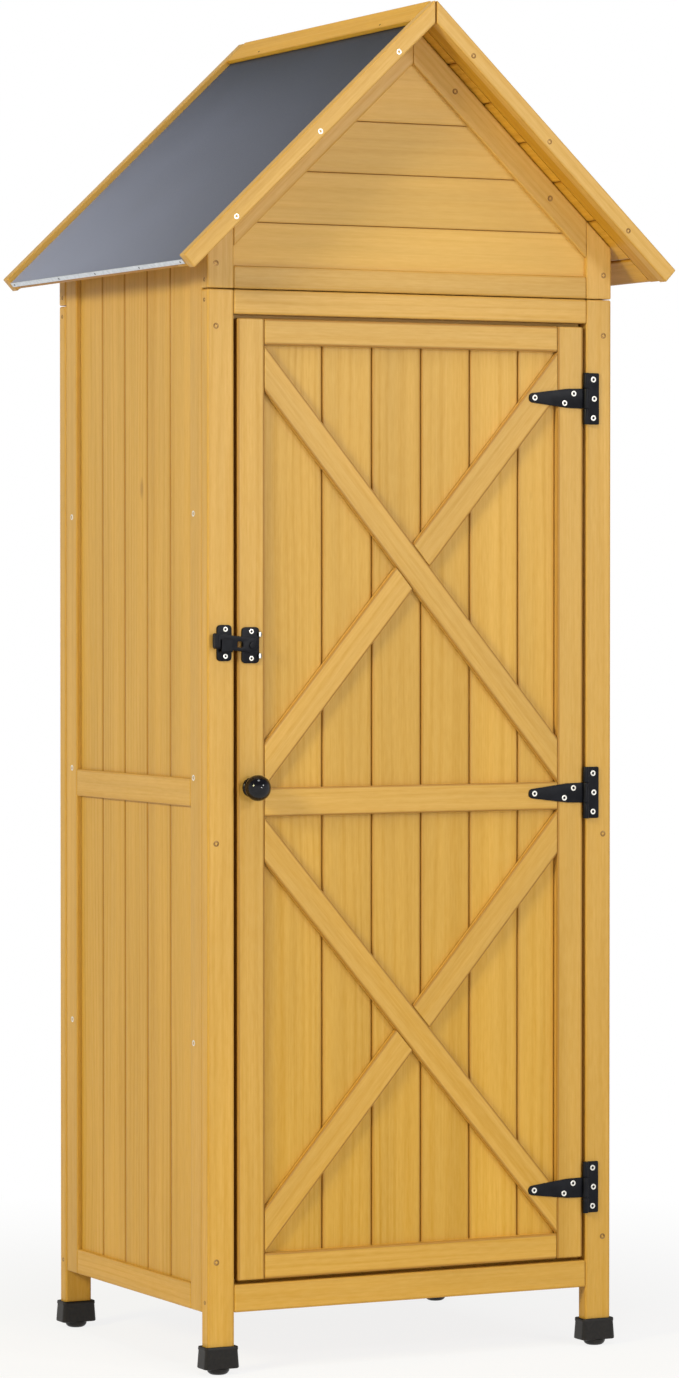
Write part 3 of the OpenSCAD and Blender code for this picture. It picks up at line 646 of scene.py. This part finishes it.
# Back wall and floor
backFace = boxOf("back_boarding")[1, 1]
rails = [boxBoard((-bayX, innerBackY, wallBottom), (bayX, backY, sillTop), 0, yAxis),
         boxBoard((-bayX, innerBackY, headerZ), (bayX, backY, postTop), 0, yAxis),
         boxBoard((-bayX, backFace, sideWall["midLow"]), (bayX, backY, sideWall["midHigh"]), 0, yAxis)]
framePiece("back_rails", rails)
edges = jointsBetween(-bayX, bayX, 0.0, boardPitch)
boards = plankRow(edges, lambda x: (x, backFace - boardThick / 2, sillTop), zAxis, yAxis,
                  headerZ - sillTop, boardThick)
boardPiece("back", boards)

floorBox = boxOf("floor_boarding")
bearerBox = boxOf("floor_bearers")
bearer = bearerBox[1, 2] - bearerBox[0, 2]
bearers = [boxBoard((-sideIn, y, bearerBox[0, 2]), (sideIn, y + bearer, bearerBox[1, 2]), 0, zAxis)
           for y in (bearerBox[0, 1], bearerBox[1, 1] - bearer)]
framePiece("floor_bearers", bearers)
floorMidZ = (floorBox[0, 2] + floorBox[1, 2]) / 2
edges = jointsBetween(innerFrontY, innerBackY, (innerFrontY + innerBackY) / 2, boardPitch)
boards = plankRow(edges, lambda y: (-sideIn, y, floorMidZ), xAxis, zAxis, 2 * sideIn,
                  floorBox[1, 2] - floorBox[0, 2])
boardPiece("floor", boards)
print("stage: back and floor made")

# Gables: end blocks, tie rail, two rakes on a set-back seat, and level boards cut to the slope
gable = {"rake": 0.036, "rebate": 0.003, "slit": 0.0012, "seat": 0.012, "reveal": 0.006, "tuck": 0.004,
         "firstJoint": 0.057, "pitch": 0.0685, "least": 0.020, "foot": 0.006, "lift": 0.0012, "peak": 0.001,
         "endEase": 0.0020, "rakeEase": 0.0014, "seatEase": 0.0005}
railTop = boxOf("front_gable_rail")[1, 2]
thick = innerFrontY - frontY
faceDepth = roof["deckEnd"] + gable["slit"]
rakeEnd = faceDepth + gable["rake"]
for word, faceY, sense in (("front", frontY, 1), ("back", backY, -1)):
    face = -sense * yAxis
    through = sorted((faceY, faceY + sense * thick))
    seat = sorted((faceY + sense * gable["rebate"], faceY + sense * (thick - roof["clear"])))
    seatDepths = (roof["deckEnd"] + roof["clear"], faceDepth + gable["seat"])
    midY = (through[0] + through[1]) / 2
    ends, rakes = [], []
    for side in (-1, 1):
        blockX = (bayX + halfW) / 2
        foot = (side * blockX, midY, postTop + gable["lift"])
        tall = planeZ(faceDepth, blockX) - foot[2]
        ends.append(board(foot, zAxis, face, tall, halfW - bayX, thick, gable["endEase"], None, outOf(side)))
        ends.append(slopeBoard(side, seatDepths, seat, face, bayX, halfW - roof["clear"], gable["seatEase"]))
        rakes.append(slopeBoard(side, (faceDepth, rakeEnd), through, face, roof["mitre"], bayX,
                                gable["rakeEase"]))
        rakes.append(slopeBoard(side, seatDepths, seat, face, roof["mitre"], bayX, gable["seatEase"]))
    framePiece(word + "_gable_ends", ends)
    framePiece(word + "_gable_rakes", rakes)
    low, high = boxOf(word + "_gable_rail")
    low[2] += gable["lift"]
    framePiece(word + "_gable_rail", [boxBoard(low, high, 0, face)])
    peak = planeZ(rakeEnd, 0.0)
    joints = np.arange(railTop + gable["firstJoint"], peak - gable["least"], gable["pitch"])
    levels = np.concatenate([[railTop - gable["foot"]], joints, [peak - gable["peak"]]])
    boards = []
    for z0, z1 in zip(levels[:-1], levels[1:]):
        reach = min((peak - (z0 + z1) / 2) / tanP + gable["tuck"], bayX)
        cuts = (None, None) if reach == bayX else (outOf(-1), outOf(1))
        place = (-reach, faceY + sense * (gable["reveal"] + boardThick / 2), (z0 + z1) / 2)
        boards.append(plank(place, xAxis, face, 2 * reach, z1 - z0, boardThick, *cuts, shallowJoint))
    boardPiece(word + "_gable", boards, woodGable)
print("stage: gables made")

# Roof: tongued deck, soffit boards, felt, barge boards, ridge boards and metal eave strips; the barge faces
# stand back a little so that their screw heads stay inside the frame
bargeFrontY = bargeBox[0, 1] + roof["screwRoom"]
bargeBackY = boxOf("back_barge_boards")[1, 1] - roof["screwRoom"]
soffitFrontY, soffitBackY = frontY - roof["soffitGap"], backY + roof["soffitGap"]
soffitYs = ((deckFrontY, soffitFrontY), (soffitBackY, deckBackY))
plankFrontY, plankBackY = soffitFrontY + roof["soffitJoint"], soffitBackY - roof["soffitJoint"]
deckMid = (roof["feltEnd"] + roof["deckEnd"]) / 2
deckThick = roof["deckEnd"] - roof["feltEnd"]
deckHead = roof["deckEnd"] * tanP
for side, word in ((-1, "left"), (1, "right")):
    edges = np.append(np.arange(deckHead, slopeLength - roof["leastDeck"], boardPitch), slopeLength)
    ridge = np.array([0.0, plankFrontY, ridgeZ])
    boards = plankRow(edges, lambda s: ridge + s * downOf(side) - deckMid * outOf(side), yAxis,
                      -outOf(side), plankBackY - plankFrontY, deckThick)
    makePiece(word + "_deck_planks", boards, woodDeckShaded, "shed", [word + "_roof_deck"])
soffits, barges, felts, ridges = [], {"front": [], "back": []}, [], []
deckDepths = (roof["feltEnd"], roof["deckEnd"])
bargeDepths = (0.0, roof["barge"])
sheetDepths = (roof["lip"], roof["feltEnd"])
sheetYs = (deckFrontY + roof["sheetGap"], deckBackY - roof["sheetGap"])
ridgeThick = roof["lip"] - roof["clear"]
ridgeLength = deckBackY - deckFrontY - 2 * roof["ridgeGap"]
for side in (-1, 1):
    out = outOf(side)
    for ys in soffitYs:
        soffits.append(slopeBoard(side, deckDepths, ys, -out, roof["mitre"]))
    barges["front"].append(slopeBoard(side, bargeDepths, (bargeFrontY, deckFrontY), -yAxis, roof["joint"]))
    barges["back"].append(slopeBoard(side, bargeDepths, (deckBackY, bargeBackY), yAxis, roof["joint"]))
    felts.append(slopeBoard(side, sheetDepths, sheetYs, out, roof["mitre"], None, roof["sheetEase"]))
    middle = np.array([0.0, deckFrontY + roof["ridgeGap"], ridgeZ])
    middle += roof["ridgeBoard"] / 2 * downOf(side) - ridgeThick / 2 * out
    ridges.append(board(middle, yAxis, out, ridgeLength, roof["ridgeBoard"], ridgeThick, roof["ridgeEase"]))
makePiece("roof_soffits_wood", soffits, woodSoffitShaded, "shed", ["roof_soffit_boards"])
for word in ("front", "back"):
    makePiece(word + "_barges_wood", barges[word], woodFrame, "shed", [word + "_barge_boards"])
makePiece("roof_sheets", felts, roofFelt, "shed", ["roof_felts"])
framePiece("ridge_boards", ridges, woodRidgeLit)

# Eave strip: a flat band of thin metal along the eave's edge, held by small nails; two more nails hold each
# ridge board
eaveStrip = {"thick": 0.001, "tall": 0.007, "ease": 0.0003, "end": 0.0003, "nail": 0.0014,
             "nailsAt": (-0.271, -0.144, -0.002, 0.118, 0.271), "ridgeNail": 0.0016, "ridgeDown": 0.034,
             "ridgeAt": (-0.184, 0.184), "sunk": 0.0002}
strips, stripNails = [], []
for side in (-1, 1):
    t, tall = eaveStrip["thick"], eaveStrip["tall"]
    down, out = downOf(side), outOf(side)
    corners = [(0.0, 0.0), (0.0, -tall), (t, -tall), (t, 0.0)]
    outline = easedOutline(corners, eaveStrip["ease"], 3)
    outline = outline if side > 0 else outline[::-1]
    corner = np.array([0.0, 0.0, ridgeZ]) + slopeLength * down - roof["lip"] * out
    section = corner + outline[:, :1] * down + outline[:, 1:] * out
    ys = np.array([deckFrontY + eaveStrip["end"], deckBackY - eaveStrip["end"]])
    grid = section[None] + ys[:, None, None] * yAxis
    strips.append(tube(grid[::-1]))
    for y in eaveStrip["nailsAt"]:
        spot = corner + t * down - 0.5 * tall * out + y * yAxis
        stripNails.append(nail(spot, down, eaveStrip["nail"]))
    for y in eaveStrip["ridgeAt"]:
        spot = np.array([0.0, y, ridgeZ - eaveStrip["sunk"]]) + eaveStrip["ridgeDown"] * down
        stripNails.append(nail(spot, out, eaveStrip["ridgeNail"]))
makePiece("eave_strips_metal", strips, zincStrip, "shed", ["eave_strips"])
print("stage: roof made")

# Door: frame, tongued boards, middle rail and crossed braces
door = {"firstJoint": 0.0155, "braceWidth": 0.038, "hair": 0.0004, "railLift": 0.0010, "railEase": 0.0014,
        "braceEase": 0.0018}
stileBox = boxOf("door_stiles")
doorX = stileBox[1, 0]
doorZ, doorTop = stileBox[:, 2]
doorInX = boxOf("door_rails")[1, 0]
doorBoards = boxOf("door_boarding")
doorLowZ, doorHighZ = doorBoards[:, 2]
doorFace = doorBoards[0, 1]
midTop = boxOf("upper_braces")[0, 2]
midLow = boxOf("lower_braces")[1, 2]
# the left stile's outer edge is painted dark brown as the shade of the gap beside it
stiles = [boxBoard((x0, frontY, doorZ), (x1, innerFrontY, doorTop), 2, -yAxis, gapShade=gapShade)
          for x0, x1, gapShade in ((-doorX, -doorInX, (1,)), (doorInX, doorX, ()))]
framePiece("door_stiles", stiles, woodDoorEdgeShade, "door")
rails = [boxBoard((-doorInX, frontY, doorZ), (doorInX, innerFrontY, doorLowZ), 0, -yAxis),
         boxBoard((-doorInX, frontY, doorHighZ), (doorInX, innerFrontY, doorTop), 0, -yAxis),
         boxBoard((-doorInX, frontY, midLow + door["railLift"]), (doorInX, doorFace, midTop), 0, -yAxis,
                  door["railEase"])]
framePiece("door_rails", rails, woodDoorEdgeShade, "door")
edges = jointsBetween(-doorInX, doorInX, door["firstJoint"], boardPitch)
boards = plankRow(edges, lambda x: (x, doorFace + boardThick / 2, doorLowZ), zAxis, -yAxis,
                  doorHighZ - doorLowZ, boardThick)
boardPiece("door", boards, body="door")

# Stop laths round the opening, behind the door's edges
stops = {"thick": 0.012, "lap": 0.012, "off": 0.0006}
lap = stops["lap"]
stopY0 = innerFrontY + stops["off"]
stopY1 = stopY0 + stops["thick"]
lathBoxes = [((side * bayX - lap, stopY0, sillTop), (side * bayX + lap, stopY1, headerZ - lap), 2)
             for side in (-1, 1)]
lathBoxes.append(((-bayX, stopY0, headerZ - lap), (bayX, stopY1, headerZ + lap), 0))
lathBoxes.append(((-bayX + lap, stopY0, sillTop), (bayX - lap, stopY1, sillTop + lap), 0))
laths = [boxBoard(low, high, along, -yAxis) for low, high, along in lathBoxes]
makePiece("door_stop_laths", laths, woodFrame, "shed", [])


# Crossed braces: the angle t that fits a brace of width w corner to corner solves
# w = rise cos t - run sin t; one runs through and the other is two halves cut along its edges
def crossedBraces(z0, z1):
    width = door["braceWidth"]
    run, rise = 2 * doorInX, z1 - z0
    angle = np.arccos(width / np.hypot(run, rise)) - np.arctan2(run, rise)
    end = width / np.cos(angle)
    length = run / np.cos(angle)
    brace = doorFace - frontY
    middleY = (doorFace + frontY) / 2
    falling = np.array([np.cos(angle), 0.0, -np.sin(angle)])
    rising = np.array([np.cos(angle), 0.0, np.sin(angle)])
    cut = np.array([np.sin(angle), 0.0, np.cos(angle)])
    centre = np.array([0.0, middleY, (z0 + z1) / 2])
    stop = (width / 2 + door["hair"]) / np.sin(2 * angle)
    half = length / 2 - stop
    left = np.array([-run / 2, middleY, z0 + end / 2])
    ease = door["braceEase"]
    return [board(centre - falling * length / 2, falling, -yAxis, length, width, brace, ease, xAxis, xAxis),
            board(left, rising, -yAxis, half, width, brace, ease, xAxis, cut),
            board(centre + rising * stop, rising, -yAxis, half, width, brace, ease, cut, xAxis)]


framePiece("upper_braces", crossedBraces(midTop, doorHighZ), woodDoorEdgeShade, "door")
framePiece("lower_braces", crossedBraces(doorLowZ, midLow), woodDoorEdgeShade, "door")
print("stage: door made")

# Tee hinges: leaf with two knuckles on the post, strap with one on the door
hinge = {"heights": (0.215, 0.747, 1.276), "pinX": 0.2595, "pinOut": 0.004, "leafTall": 0.069,
         "leafWide": 0.021, "leafCorner": 0.0022, "strap": 0.086, "root": 0.027, "tip": 0.0115,
         "shoulder": 0.32, "waist": 0.0006, "plate": 0.002, "knuckle": 0.004, "gap": 0.0005, "ease": 0.0005,
         "screw": 0.95, "leafScrews": ((0.0122, 0.0258), (0.0135, 0.0), (0.0122, -0.0258)),
         "strapScrews": ((-0.018, 0.0065), (-0.032, -0.0065), (-0.0775, 0.0))}


# Rolled knuckle: a cylinder with a quarter-round at both ends
def knuckle(x, y, z0, z1):
    r = hinge["knuckle"]
    turn = np.linspace(0.0, np.pi / 2, 4)
    ease = hinge["ease"]
    foot = np.stack([r - ease + ease * np.sin(turn), ease * (1.0 - np.cos(turn))], -1)
    head = np.stack([r - ease + ease * np.cos(turn), z1 - z0 - ease + ease * np.sin(turn)], -1)
    profile = np.concatenate([[(0.3 * r, 0.0)], foot, head, [(0.3 * r, z1 - z0)]])
    return turned(profile, (x, y, z0), zAxis, 28)


leaves, straps, leafScrews, strapScrews = [], [], [], []
for z in hinge["heights"]:
    x, y = hinge["pinX"], frontY - hinge["pinOut"]
    tall, wide, root = hinge["leafTall"] / 2, hinge["leafWide"], hinge["root"] / 2
    eye = root + hinge["gap"]
    inner = hinge["knuckle"] + hinge["gap"]
    corners = [(0.0, -tall), (wide, -tall), (wide, tall), (0.0, tall),
               (0.0, eye), (inner, eye), (inner, -eye), (0.0, -eye)]
    outline = easedOutline(corners, [0.0002] + [hinge["leafCorner"]] * 2 + [0.0002] * 5, 5)
    leaves.append(plate(outline, (x, frontY, z), hinge["plate"], hinge["ease"]))
    leaves += [knuckle(x, y, z + eye, z + tall), knuckle(x, y, z - tall, z - eye)]
    tip, length = hinge["tip"] / 2, hinge["strap"]
    shoulder = -hinge["shoulder"] * length
    waist = root - hinge["waist"]
    corners = [(0.0, -root), (0.0, root), (shoulder, waist),
               (-length, tip), (-length, -tip), (shoulder, -waist)]
    outline = easedOutline(corners, [0.0003, 0.0003, 0.004, 0.0056, 0.0056, 0.004], 7)
    straps.append(plate(outline, (x, frontY, z), hinge["plate"], hinge["ease"]))
    straps.append(knuckle(x, y, z - root, z + root))
    front = frontY - hinge["plate"]
    for screws, places in ((leafScrews, hinge["leafScrews"]), (strapScrews, hinge["strapScrews"])):
        screws += [screw((x + dx, front, z + dz), -yAxis, hinge["screw"]) for dx, dz in places]
ironPiece("hinge_leaves", leaves, "shed")
ironPiece("hinge_straps", straps, "door")

# Knob: foot, neck and ball turned about the line out of the stile
knobBox = boxOf("door_knob")
knob = {"foot": 0.013, "neck": 0.00975, "footThick": 0.004, "footEase": 0.0022}
knobR = (knobBox[1, 0] - knobBox[0, 0]) / 2
knobX = (knobBox[0, 0] + knobBox[1, 0]) / 2
knobZ = (knobBox[0, 2] + knobBox[1, 2]) / 2
footR, neck, ease = knob["foot"], knob["neck"], knob["footEase"]
ballOut = frontY - knobBox[0, 1] - knobR
joinAt = np.pi - np.arcsin(neck / knobR)
ball = np.linspace(joinAt, 0.03, 22)
footTurn = np.linspace(0.0, np.pi / 2, 7)
footThick = knob["footThick"]
profile = np.concatenate([
    [(0.3 * footR, 0.0), (footR, 0.0)],
    np.stack([footR - ease * (1.0 - np.cos(footTurn)),
              footThick - ease * (1.0 - np.sin(footTurn))], -1),
    [(neck * 1.05, footThick + 0.0002), (neck, footThick + 0.0009)],
    np.stack([knobR * np.sin(ball), ballOut + knobR * np.cos(ball)], -1)])
knobPart = turned(profile, (knobX, frontY, knobZ), -yAxis, 40)
makePiece("door_knob_turned", [knobPart], blackKnob, "door", ["door_knob"])

# Latch: plate and pivot on the door, bar with a window, keeper with a hook on the post
latch = {"x": -0.2395, "z": 0.948, "keeperX": -0.2772, "tall": 0.047, "baseWide": 0.025, "keeperWide": 0.021,
         "plate": 0.0025, "corner": 0.006, "ease": 0.0006, "earOut": 0.004, "earRise": 0.014,
         "earPin": (0.0031, 0.0066), "earShift": 0.0009, "boss": 0.007, "bossThick": 0.0025, "pin": 0.003,
         "head": 0.005, "headThick": 0.0015, "headEase": 0.0007, "clear": 0.0005, "bar": 0.003,
         "barLength": 0.056, "root": 0.019, "tipLow": -0.004, "tipHigh": 0.016, "window": 0.008,
         "windowX": -0.0176, "windowZ": 0.001, "tab": 0.006, "tabTrim": 0.001, "tabEase": 0.0009,
         "hook": 0.016, "wall": 0.002, "wallEase": 0.0007, "ledge": 0.0071, "screw": 0.8,
         "baseScrewX": 0.0012, "keeperScrewX": 0.0015, "screwRise": (0.0178, -0.0172)}
lx, lz = latch["x"], latch["z"]
barY = boxOf("latch_bar")[1, 1]
plateFront = frontY - latch["plate"]


def plateCorners(width, tall):
    return [(width / 2, -tall / 2), (width / 2, tall / 2), (-width / 2, tall / 2), (-width / 2, -tall / 2)]


def disc(place, radius, tall, ease=0.0004):
    turn = np.linspace(0.0, np.pi / 2, 4)
    rim = np.stack([radius - ease * (1.0 - np.cos(turn)), tall - ease * (1.0 - np.sin(turn))], -1)
    profile = np.concatenate([[(0.3 * radius, 0.0), (radius, 0.0)], rim, [(0.25 * radius, tall)]])
    return turned(profile, place, -yAxis, 28)


# Latch plate with round corners
def cornerPlate(width, x, z):
    outline = easedOutline(plateCorners(width, latch["tall"]), latch["corner"], 8)
    return plate(outline, (x, frontY, z), latch["plate"], latch["ease"])


base = [cornerPlate(latch["baseWide"], lx, lz)]
rivets = []
earX = lx + latch["baseWide"] / 2
for rise in (-latch["earRise"], latch["earRise"]):
    base.append(disc((earX, frontY, lz + rise), latch["earOut"], latch["plate"]))
    pin = easedOutline(plateCorners(*latch["earPin"]), 0.4 * latch["earPin"][0], 4)
    rivet = plate(pin, (earX + latch["earShift"], plateFront, lz + rise), 0.0006, 0.0003)
    rivet["edge"] = np.zeros(len(rivet["points"]))
    rivets.append(rivet)
pinTall = latch["bossThick"] + latch["bar"] + 2 * latch["clear"]
headY = plateFront - latch["bossThick"] - latch["bar"] - 2 * latch["clear"]
base.append(disc((lx, plateFront, lz), latch["boss"], latch["bossThick"]))
base.append(disc((lx, plateFront, lz), latch["pin"], pinTall))
base.append(disc((lx, headY, lz), latch["head"], latch["headThick"], latch["headEase"]))
ironPiece("latch_base", base, "door")
latchScrews = [screw((lx + latch["baseScrewX"], plateFront, lz + rise), -yAxis, latch["screw"])
               for rise in latch["screwRise"]]


# Bar with a window: a ring of the outline and a ring of the window at the same angles, looped front to back
def windowPlate(outline, hole, holeHalf, origin, thick, ease):
    away = outline - hole
    flat = holeHalf / np.maximum(np.max(np.abs(away), axis=1, keepdims=True), 1e-9)
    inner = hole + away * flat
    toHole = inner - hole
    toHole = toHole / np.linalg.norm(toHole, axis=1, keepdims=True)
    side = mitres(outline)
    rings = np.stack([outline, outline, outline - 0.3 * ease * side, outline - ease * side,
                      inner + ease * toHole, inner + 0.3 * ease * toHole, inner, inner])
    rise = np.array([0.0, thick - ease, thick - 0.3 * ease, thick])
    height = np.concatenate([rise, rise[::-1]])
    grid = np.asarray(origin) + rings[..., :1] * xAxis + rings[..., 1:] * zAxis
    return tube(grid - height[:, None, None] * yAxis, looped=True)


# Straight edges get points every few millimetres so the window ring keeps its corners
def densified(outline, pieces):
    u = np.linspace(0.0, 1.0, pieces, endpoint=False)[None, :, None]
    return (outline[:, None] * (1 - u) + np.roll(outline, -1, axis=0)[:, None] * u).reshape(-1, 2)


turn = np.linspace(-np.pi / 2, np.pi / 2, 13)
rootR = latch["root"] / 2
nose = np.stack([rootR * np.cos(turn), rootR * np.sin(turn)], -1)
barLength, tipLow, tipHigh = latch["barLength"], latch["tipLow"], latch["tipHigh"]
tipCorners = [(0.0, rootR), (-barLength, tipHigh), (-barLength, tipLow), (0.0, -rootR)]
tipEnd = easedOutline(tipCorners, [0.0001, 0.003, 0.003, 0.0001], 5)[5:15]
barOutline = densified(np.concatenate([nose, tipEnd]), 4)
window = np.array([latch["windowX"], latch["windowZ"]])
bar = [windowPlate(barOutline, window, latch["window"] / 2, (lx, barY, lz), latch["bar"], latch["ease"])]
barFront = barY - latch["bar"]
trim = latch["tabTrim"]
tabLow = (lx - barLength, barFront - latch["tab"], lz + tipLow + trim)
tabHigh = (lx - barLength + latch["tab"] * 0.9, barFront + trim, lz + tipHigh - trim)
bar.append(boxBoard(tabLow, tabHigh, 2, -yAxis, latch["tabEase"]))
ironPiece("latch_bar", bar, "latch")

kx, hook, wall = latch["keeperX"], latch["hook"] / 2, latch["wall"]
keeperZ = lz + (tipLow + tipHigh) / 4
lipY = barFront - 2 * latch["clear"]
ledgeZ = lz - latch["ledge"]
ledge = boxBoard((kx - hook, lipY - wall, ledgeZ - wall), (kx + hook, plateFront + 0.0005, ledgeZ), 0,
                 -zAxis, latch["wallEase"])
lip = boxBoard((kx - hook, lipY - wall, ledgeZ - wall + 0.0002), (kx + hook, lipY, lz + tipHigh / 2), 0,
               -yAxis, latch["wallEase"])
keeper = [cornerPlate(latch["keeperWide"], kx, keeperZ), ledge, lip]
ironPiece("latch_keeper", keeper, "shed")
keeperScrews = [screw((kx + latch["keeperScrewX"], plateFront, keeperZ + rise), -yAxis, latch["screw"])
                for rise in latch["screwRise"]]
print("stage: fittings made")

# Feet: tapered caps with a rolled rim, on bowl-shaped glides
foot = {"glide": 0.008, "glideR": 0.015, "wide": 0.050, "deep": 0.030, "corner": 0.0055}
caps, glides = [], []
# Height of each ring of a cap, and how far it is drawn in
capRows = np.array([(0.0, 0.0016), (0.0006, 0.0005), (0.0018, 0.0), (0.0235, 0.0017), (0.0245, 0.0013),
                    (0.0252, 0.0011), (0.0280, 0.0013), (0.0287, 0.0017), (0.0290, 0.0024),
                    (0.0290, 0.0038), (0.0284, 0.0045), (0.0240, 0.0046)])
capRings = roundedRings(foot["wide"], foot["deep"], foot["corner"], capRows[:, 1])
arc = np.linspace(0.0, np.pi / 2, 9)
sole = foot["glideR"] / 2
bowl = np.stack([sole + (foot["glideR"] - sole) * np.sin(arc), foot["glide"] * (1.0 - np.cos(arc))], -1)
glideProfile = np.concatenate([[(0.2 * sole, 0.0), (0.9 * sole, 0.0)], bowl[1:],
                               [(0.4 * sole, foot["glide"])]])
for fx in (-(halfW + bayX) / 2, (halfW + bayX) / 2):
    for fy in ((frontY + innerFrontY) / 2, (backY + innerBackY) / 2):
        centre = np.array([fx, fy, foot["glide"]])
        grid = centre + capRings[..., :1] * xAxis + capRings[..., 1:] * yAxis + capRows[:, :1, None] * zAxis
        caps.append(tube(grid))
        glides.append(turned(glideProfile, (fx, fy, 0.0), zAxis, 36))
makePiece("foot_caps_moulded", caps, blackPlastic, "shed", ["foot_caps"])
makePiece("foot_glides_moulded", glides, blackPlastic, "shed", ["foot_glides"])

# Screws in the frame: each set is given once and mirrored; most are dulled by stain
frameScrews = {"postX": 0.288, "postZ": (1.361, 0.691, 0.147, 1.442), "cornerZ": (1.421, 1.395, 0.094),
               "corner": 0.7, "stileZ": (1.119, 0.775, 0.429), "stileFront": 0.010, "stileBack": 0.016,
               "bargeAt": (0.178, 0.492, 0.823), "bargeDeep": 0.014, "barge": 0.9, "rakeX": (0.062, 0.206)}
wallScrews, dullScrews = [], []
rakeMid = (faceDepth + rakeEnd) / 2
for side in (-1, 1):
    for faceY, outward in ((frontY, -yAxis), (backY, yAxis)):
        postX = side * frameScrews["postX"]
        dullScrews += [screw((postX, faceY, z), outward) for z in frameScrews["postZ"]]
        rakeX = frameScrews["rakeX"] if side > 0 else ()
        dullScrews += [screw((x, faceY, planeZ(rakeMid, x)), outward) for x in rakeX]
        edgeY = faceY - outward[1] * thick / 2
        dullScrews += [screw((side * halfW, edgeY, z), side * xAxis, frameScrews["corner"])
                       for z in frameScrews["cornerZ"]]
    for y in (stileY0 - frameScrews["stileFront"], stileY1 + frameScrews["stileBack"]):
        wallScrews += [screw((side * sideOut, y, z), side * xAxis) for z in frameScrews["stileZ"]]
    bargeScrews = wallScrews if side < 0 else dullScrews
    for y, outward in ((bargeFrontY, -yAxis), (bargeBackY, yAxis)):
        for share in frameScrews["bargeAt"]:
            spot = np.array([0.0, y, ridgeZ]) + share * slopeLength * downOf(side)
            spot = spot - frameScrews["bargeDeep"] * outOf(side)
            bargeScrews.append(screw(spot, outward, frameScrews["barge"]))
makePiece("wall_screws", wallScrews + leafScrews + keeperScrews, zincScrew, "shed", [])
makePiece("stained_screws", dullScrews, dullScrew, "shed", [])
makePiece("door_screws", strapScrews + latchScrews + rivets, zincScrew, "door", [])
makePiece("eave_nails", stripNails, blackIron, "shed", [])
print("stage: screws made")

# Studio: a pale floor that stays near white to the eye but keeps a faint shadow, a warm even surround, a key
# from the front right, a warmer fill from the left, a low lamp in front and a weak one overhead
studio = {"floor": 60.0, "surround": 0.25, "tint": (1.0, 0.95, 0.84, 1), "floorTone": (0.86, 0.86, 0.86, 1),
          "floorShow": 0.84, "fade": 1.6, "overhead": 0.22, "aim": (0.0, 0.0, 0.9)}
lamps = {"key": {"place": (1.9, -4.6, 2.9), "size": 0.9, "power": 54.0, "colour": (1.0, 1.0, 1.0)},
         "fill": {"place": (-4.7, -2.0, 2.8), "size": 1.3, "power": 163.0, "colour": (1.0, 0.92, 0.52)},
         "front": {"place": (0.5, -6.0, 1.3), "size": 0.8, "power": 62.0, "colour": (1.0, 1.0, 1.0)},
         "top": {"place": (-0.5, -1.6, 5.2), "size": 1.4, "power": 55.0, "colour": (1.0, 1.0, 1.0)}}


# One for what the camera, a mirror or glass sees straight on
def seenBy(tree):
    path = put(tree, "ShaderNodeLightPath").outputs
    seen = maths(tree, "MAXIMUM", path["Is Camera Ray"], path["Is Glossy Ray"])
    return maths(tree, "MAXIMUM", seen, path["Is Transmission Ray"])


def setStudio():
    half = studio["floor"] / 2
    corners = [(-half, -half, 0.0), (half, -half, 0.0), (half, half, 0.0), (-half, half, 0.0)]
    mesh = bpy.data.meshes.new("studio_floor")
    mesh.from_pydata(corners, [], [(0, 1, 2, 3)])
    finish, tree, shader = newFinish("paleFloor")
    shader.inputs["Base Color"].default_value = studio["floorTone"]
    shader.inputs["Roughness"].default_value = 0.9
    shader.inputs["Specular IOR Level"].default_value = 0.1
    glow = put(tree, "ShaderNodeEmission", {"Color": (1, 1, 1, 1), "Strength": 1.0})
    away = put(tree, "ShaderNodeVectorMath", {0: objectPlace(tree)}, operation="LENGTH").outputs["Value"]
    show = span(tree, away, 0.5, studio["fade"], studio["floorShow"], 1.0)
    amount = maths(tree, "MULTIPLY", seenBy(tree), show)
    mixed = put(tree, "ShaderNodeMixShader", {0: amount, 1: shader.outputs[0], 2: glow.outputs[0]})
    tree.links.new(mixed.outputs[0], tree.nodes["Material Output"].inputs["Surface"])
    mesh.materials.append(finish)
    floor = bpy.data.objects.new("studio_floor", mesh)
    bpy.context.collection.objects.link(floor)
    world = bpy.data.worlds.new("surround")
    world.use_nodes = True
    tree = world.node_tree
    tree.nodes.clear()
    light = put(tree, "ShaderNodeBackground", {"Color": studio["tint"], "Strength": studio["surround"]})
    facing = put(tree, "ShaderNodeTexCoord").outputs["Generated"]
    upward = put(tree, "ShaderNodeSeparateXYZ", {0: facing}).outputs[2]
    dome = span(tree, upward, 0.20, 0.60, 1.0, studio["overhead"])  # white at eye level, greyer overhead
    white = put(tree, "ShaderNodeBackground", {"Color": (1, 1, 1, 1), "Strength": dome})
    mixed = put(tree, "ShaderNodeMixShader", {0: seenBy(tree), 1: light.outputs[0], 2: white.outputs[0]})
    leave = put(tree, "ShaderNodeOutputWorld")
    tree.links.new(mixed.outputs[0], leave.inputs["Surface"])
    bpy.context.scene.world = world
    for name, look in lamps.items():
        data = bpy.data.lights.new(name, "AREA")
        data.shape = "DISK"
        data.size = look["size"]
        data.energy = look["power"]
        data.color = look["colour"]
        lamp = bpy.data.objects.new(name, data)
        lamp.location = look["place"]
        toward = np.array(studio["aim"]) - np.array(look["place"])
        lamp.rotation_euler = Vector(toward).to_track_quat("-Z", "Y").to_euler()
        bpy.context.collection.objects.link(lamp)
    bpy.context.scene.view_settings.view_transform = "Standard"


setStudio()
print("stage: studio set")
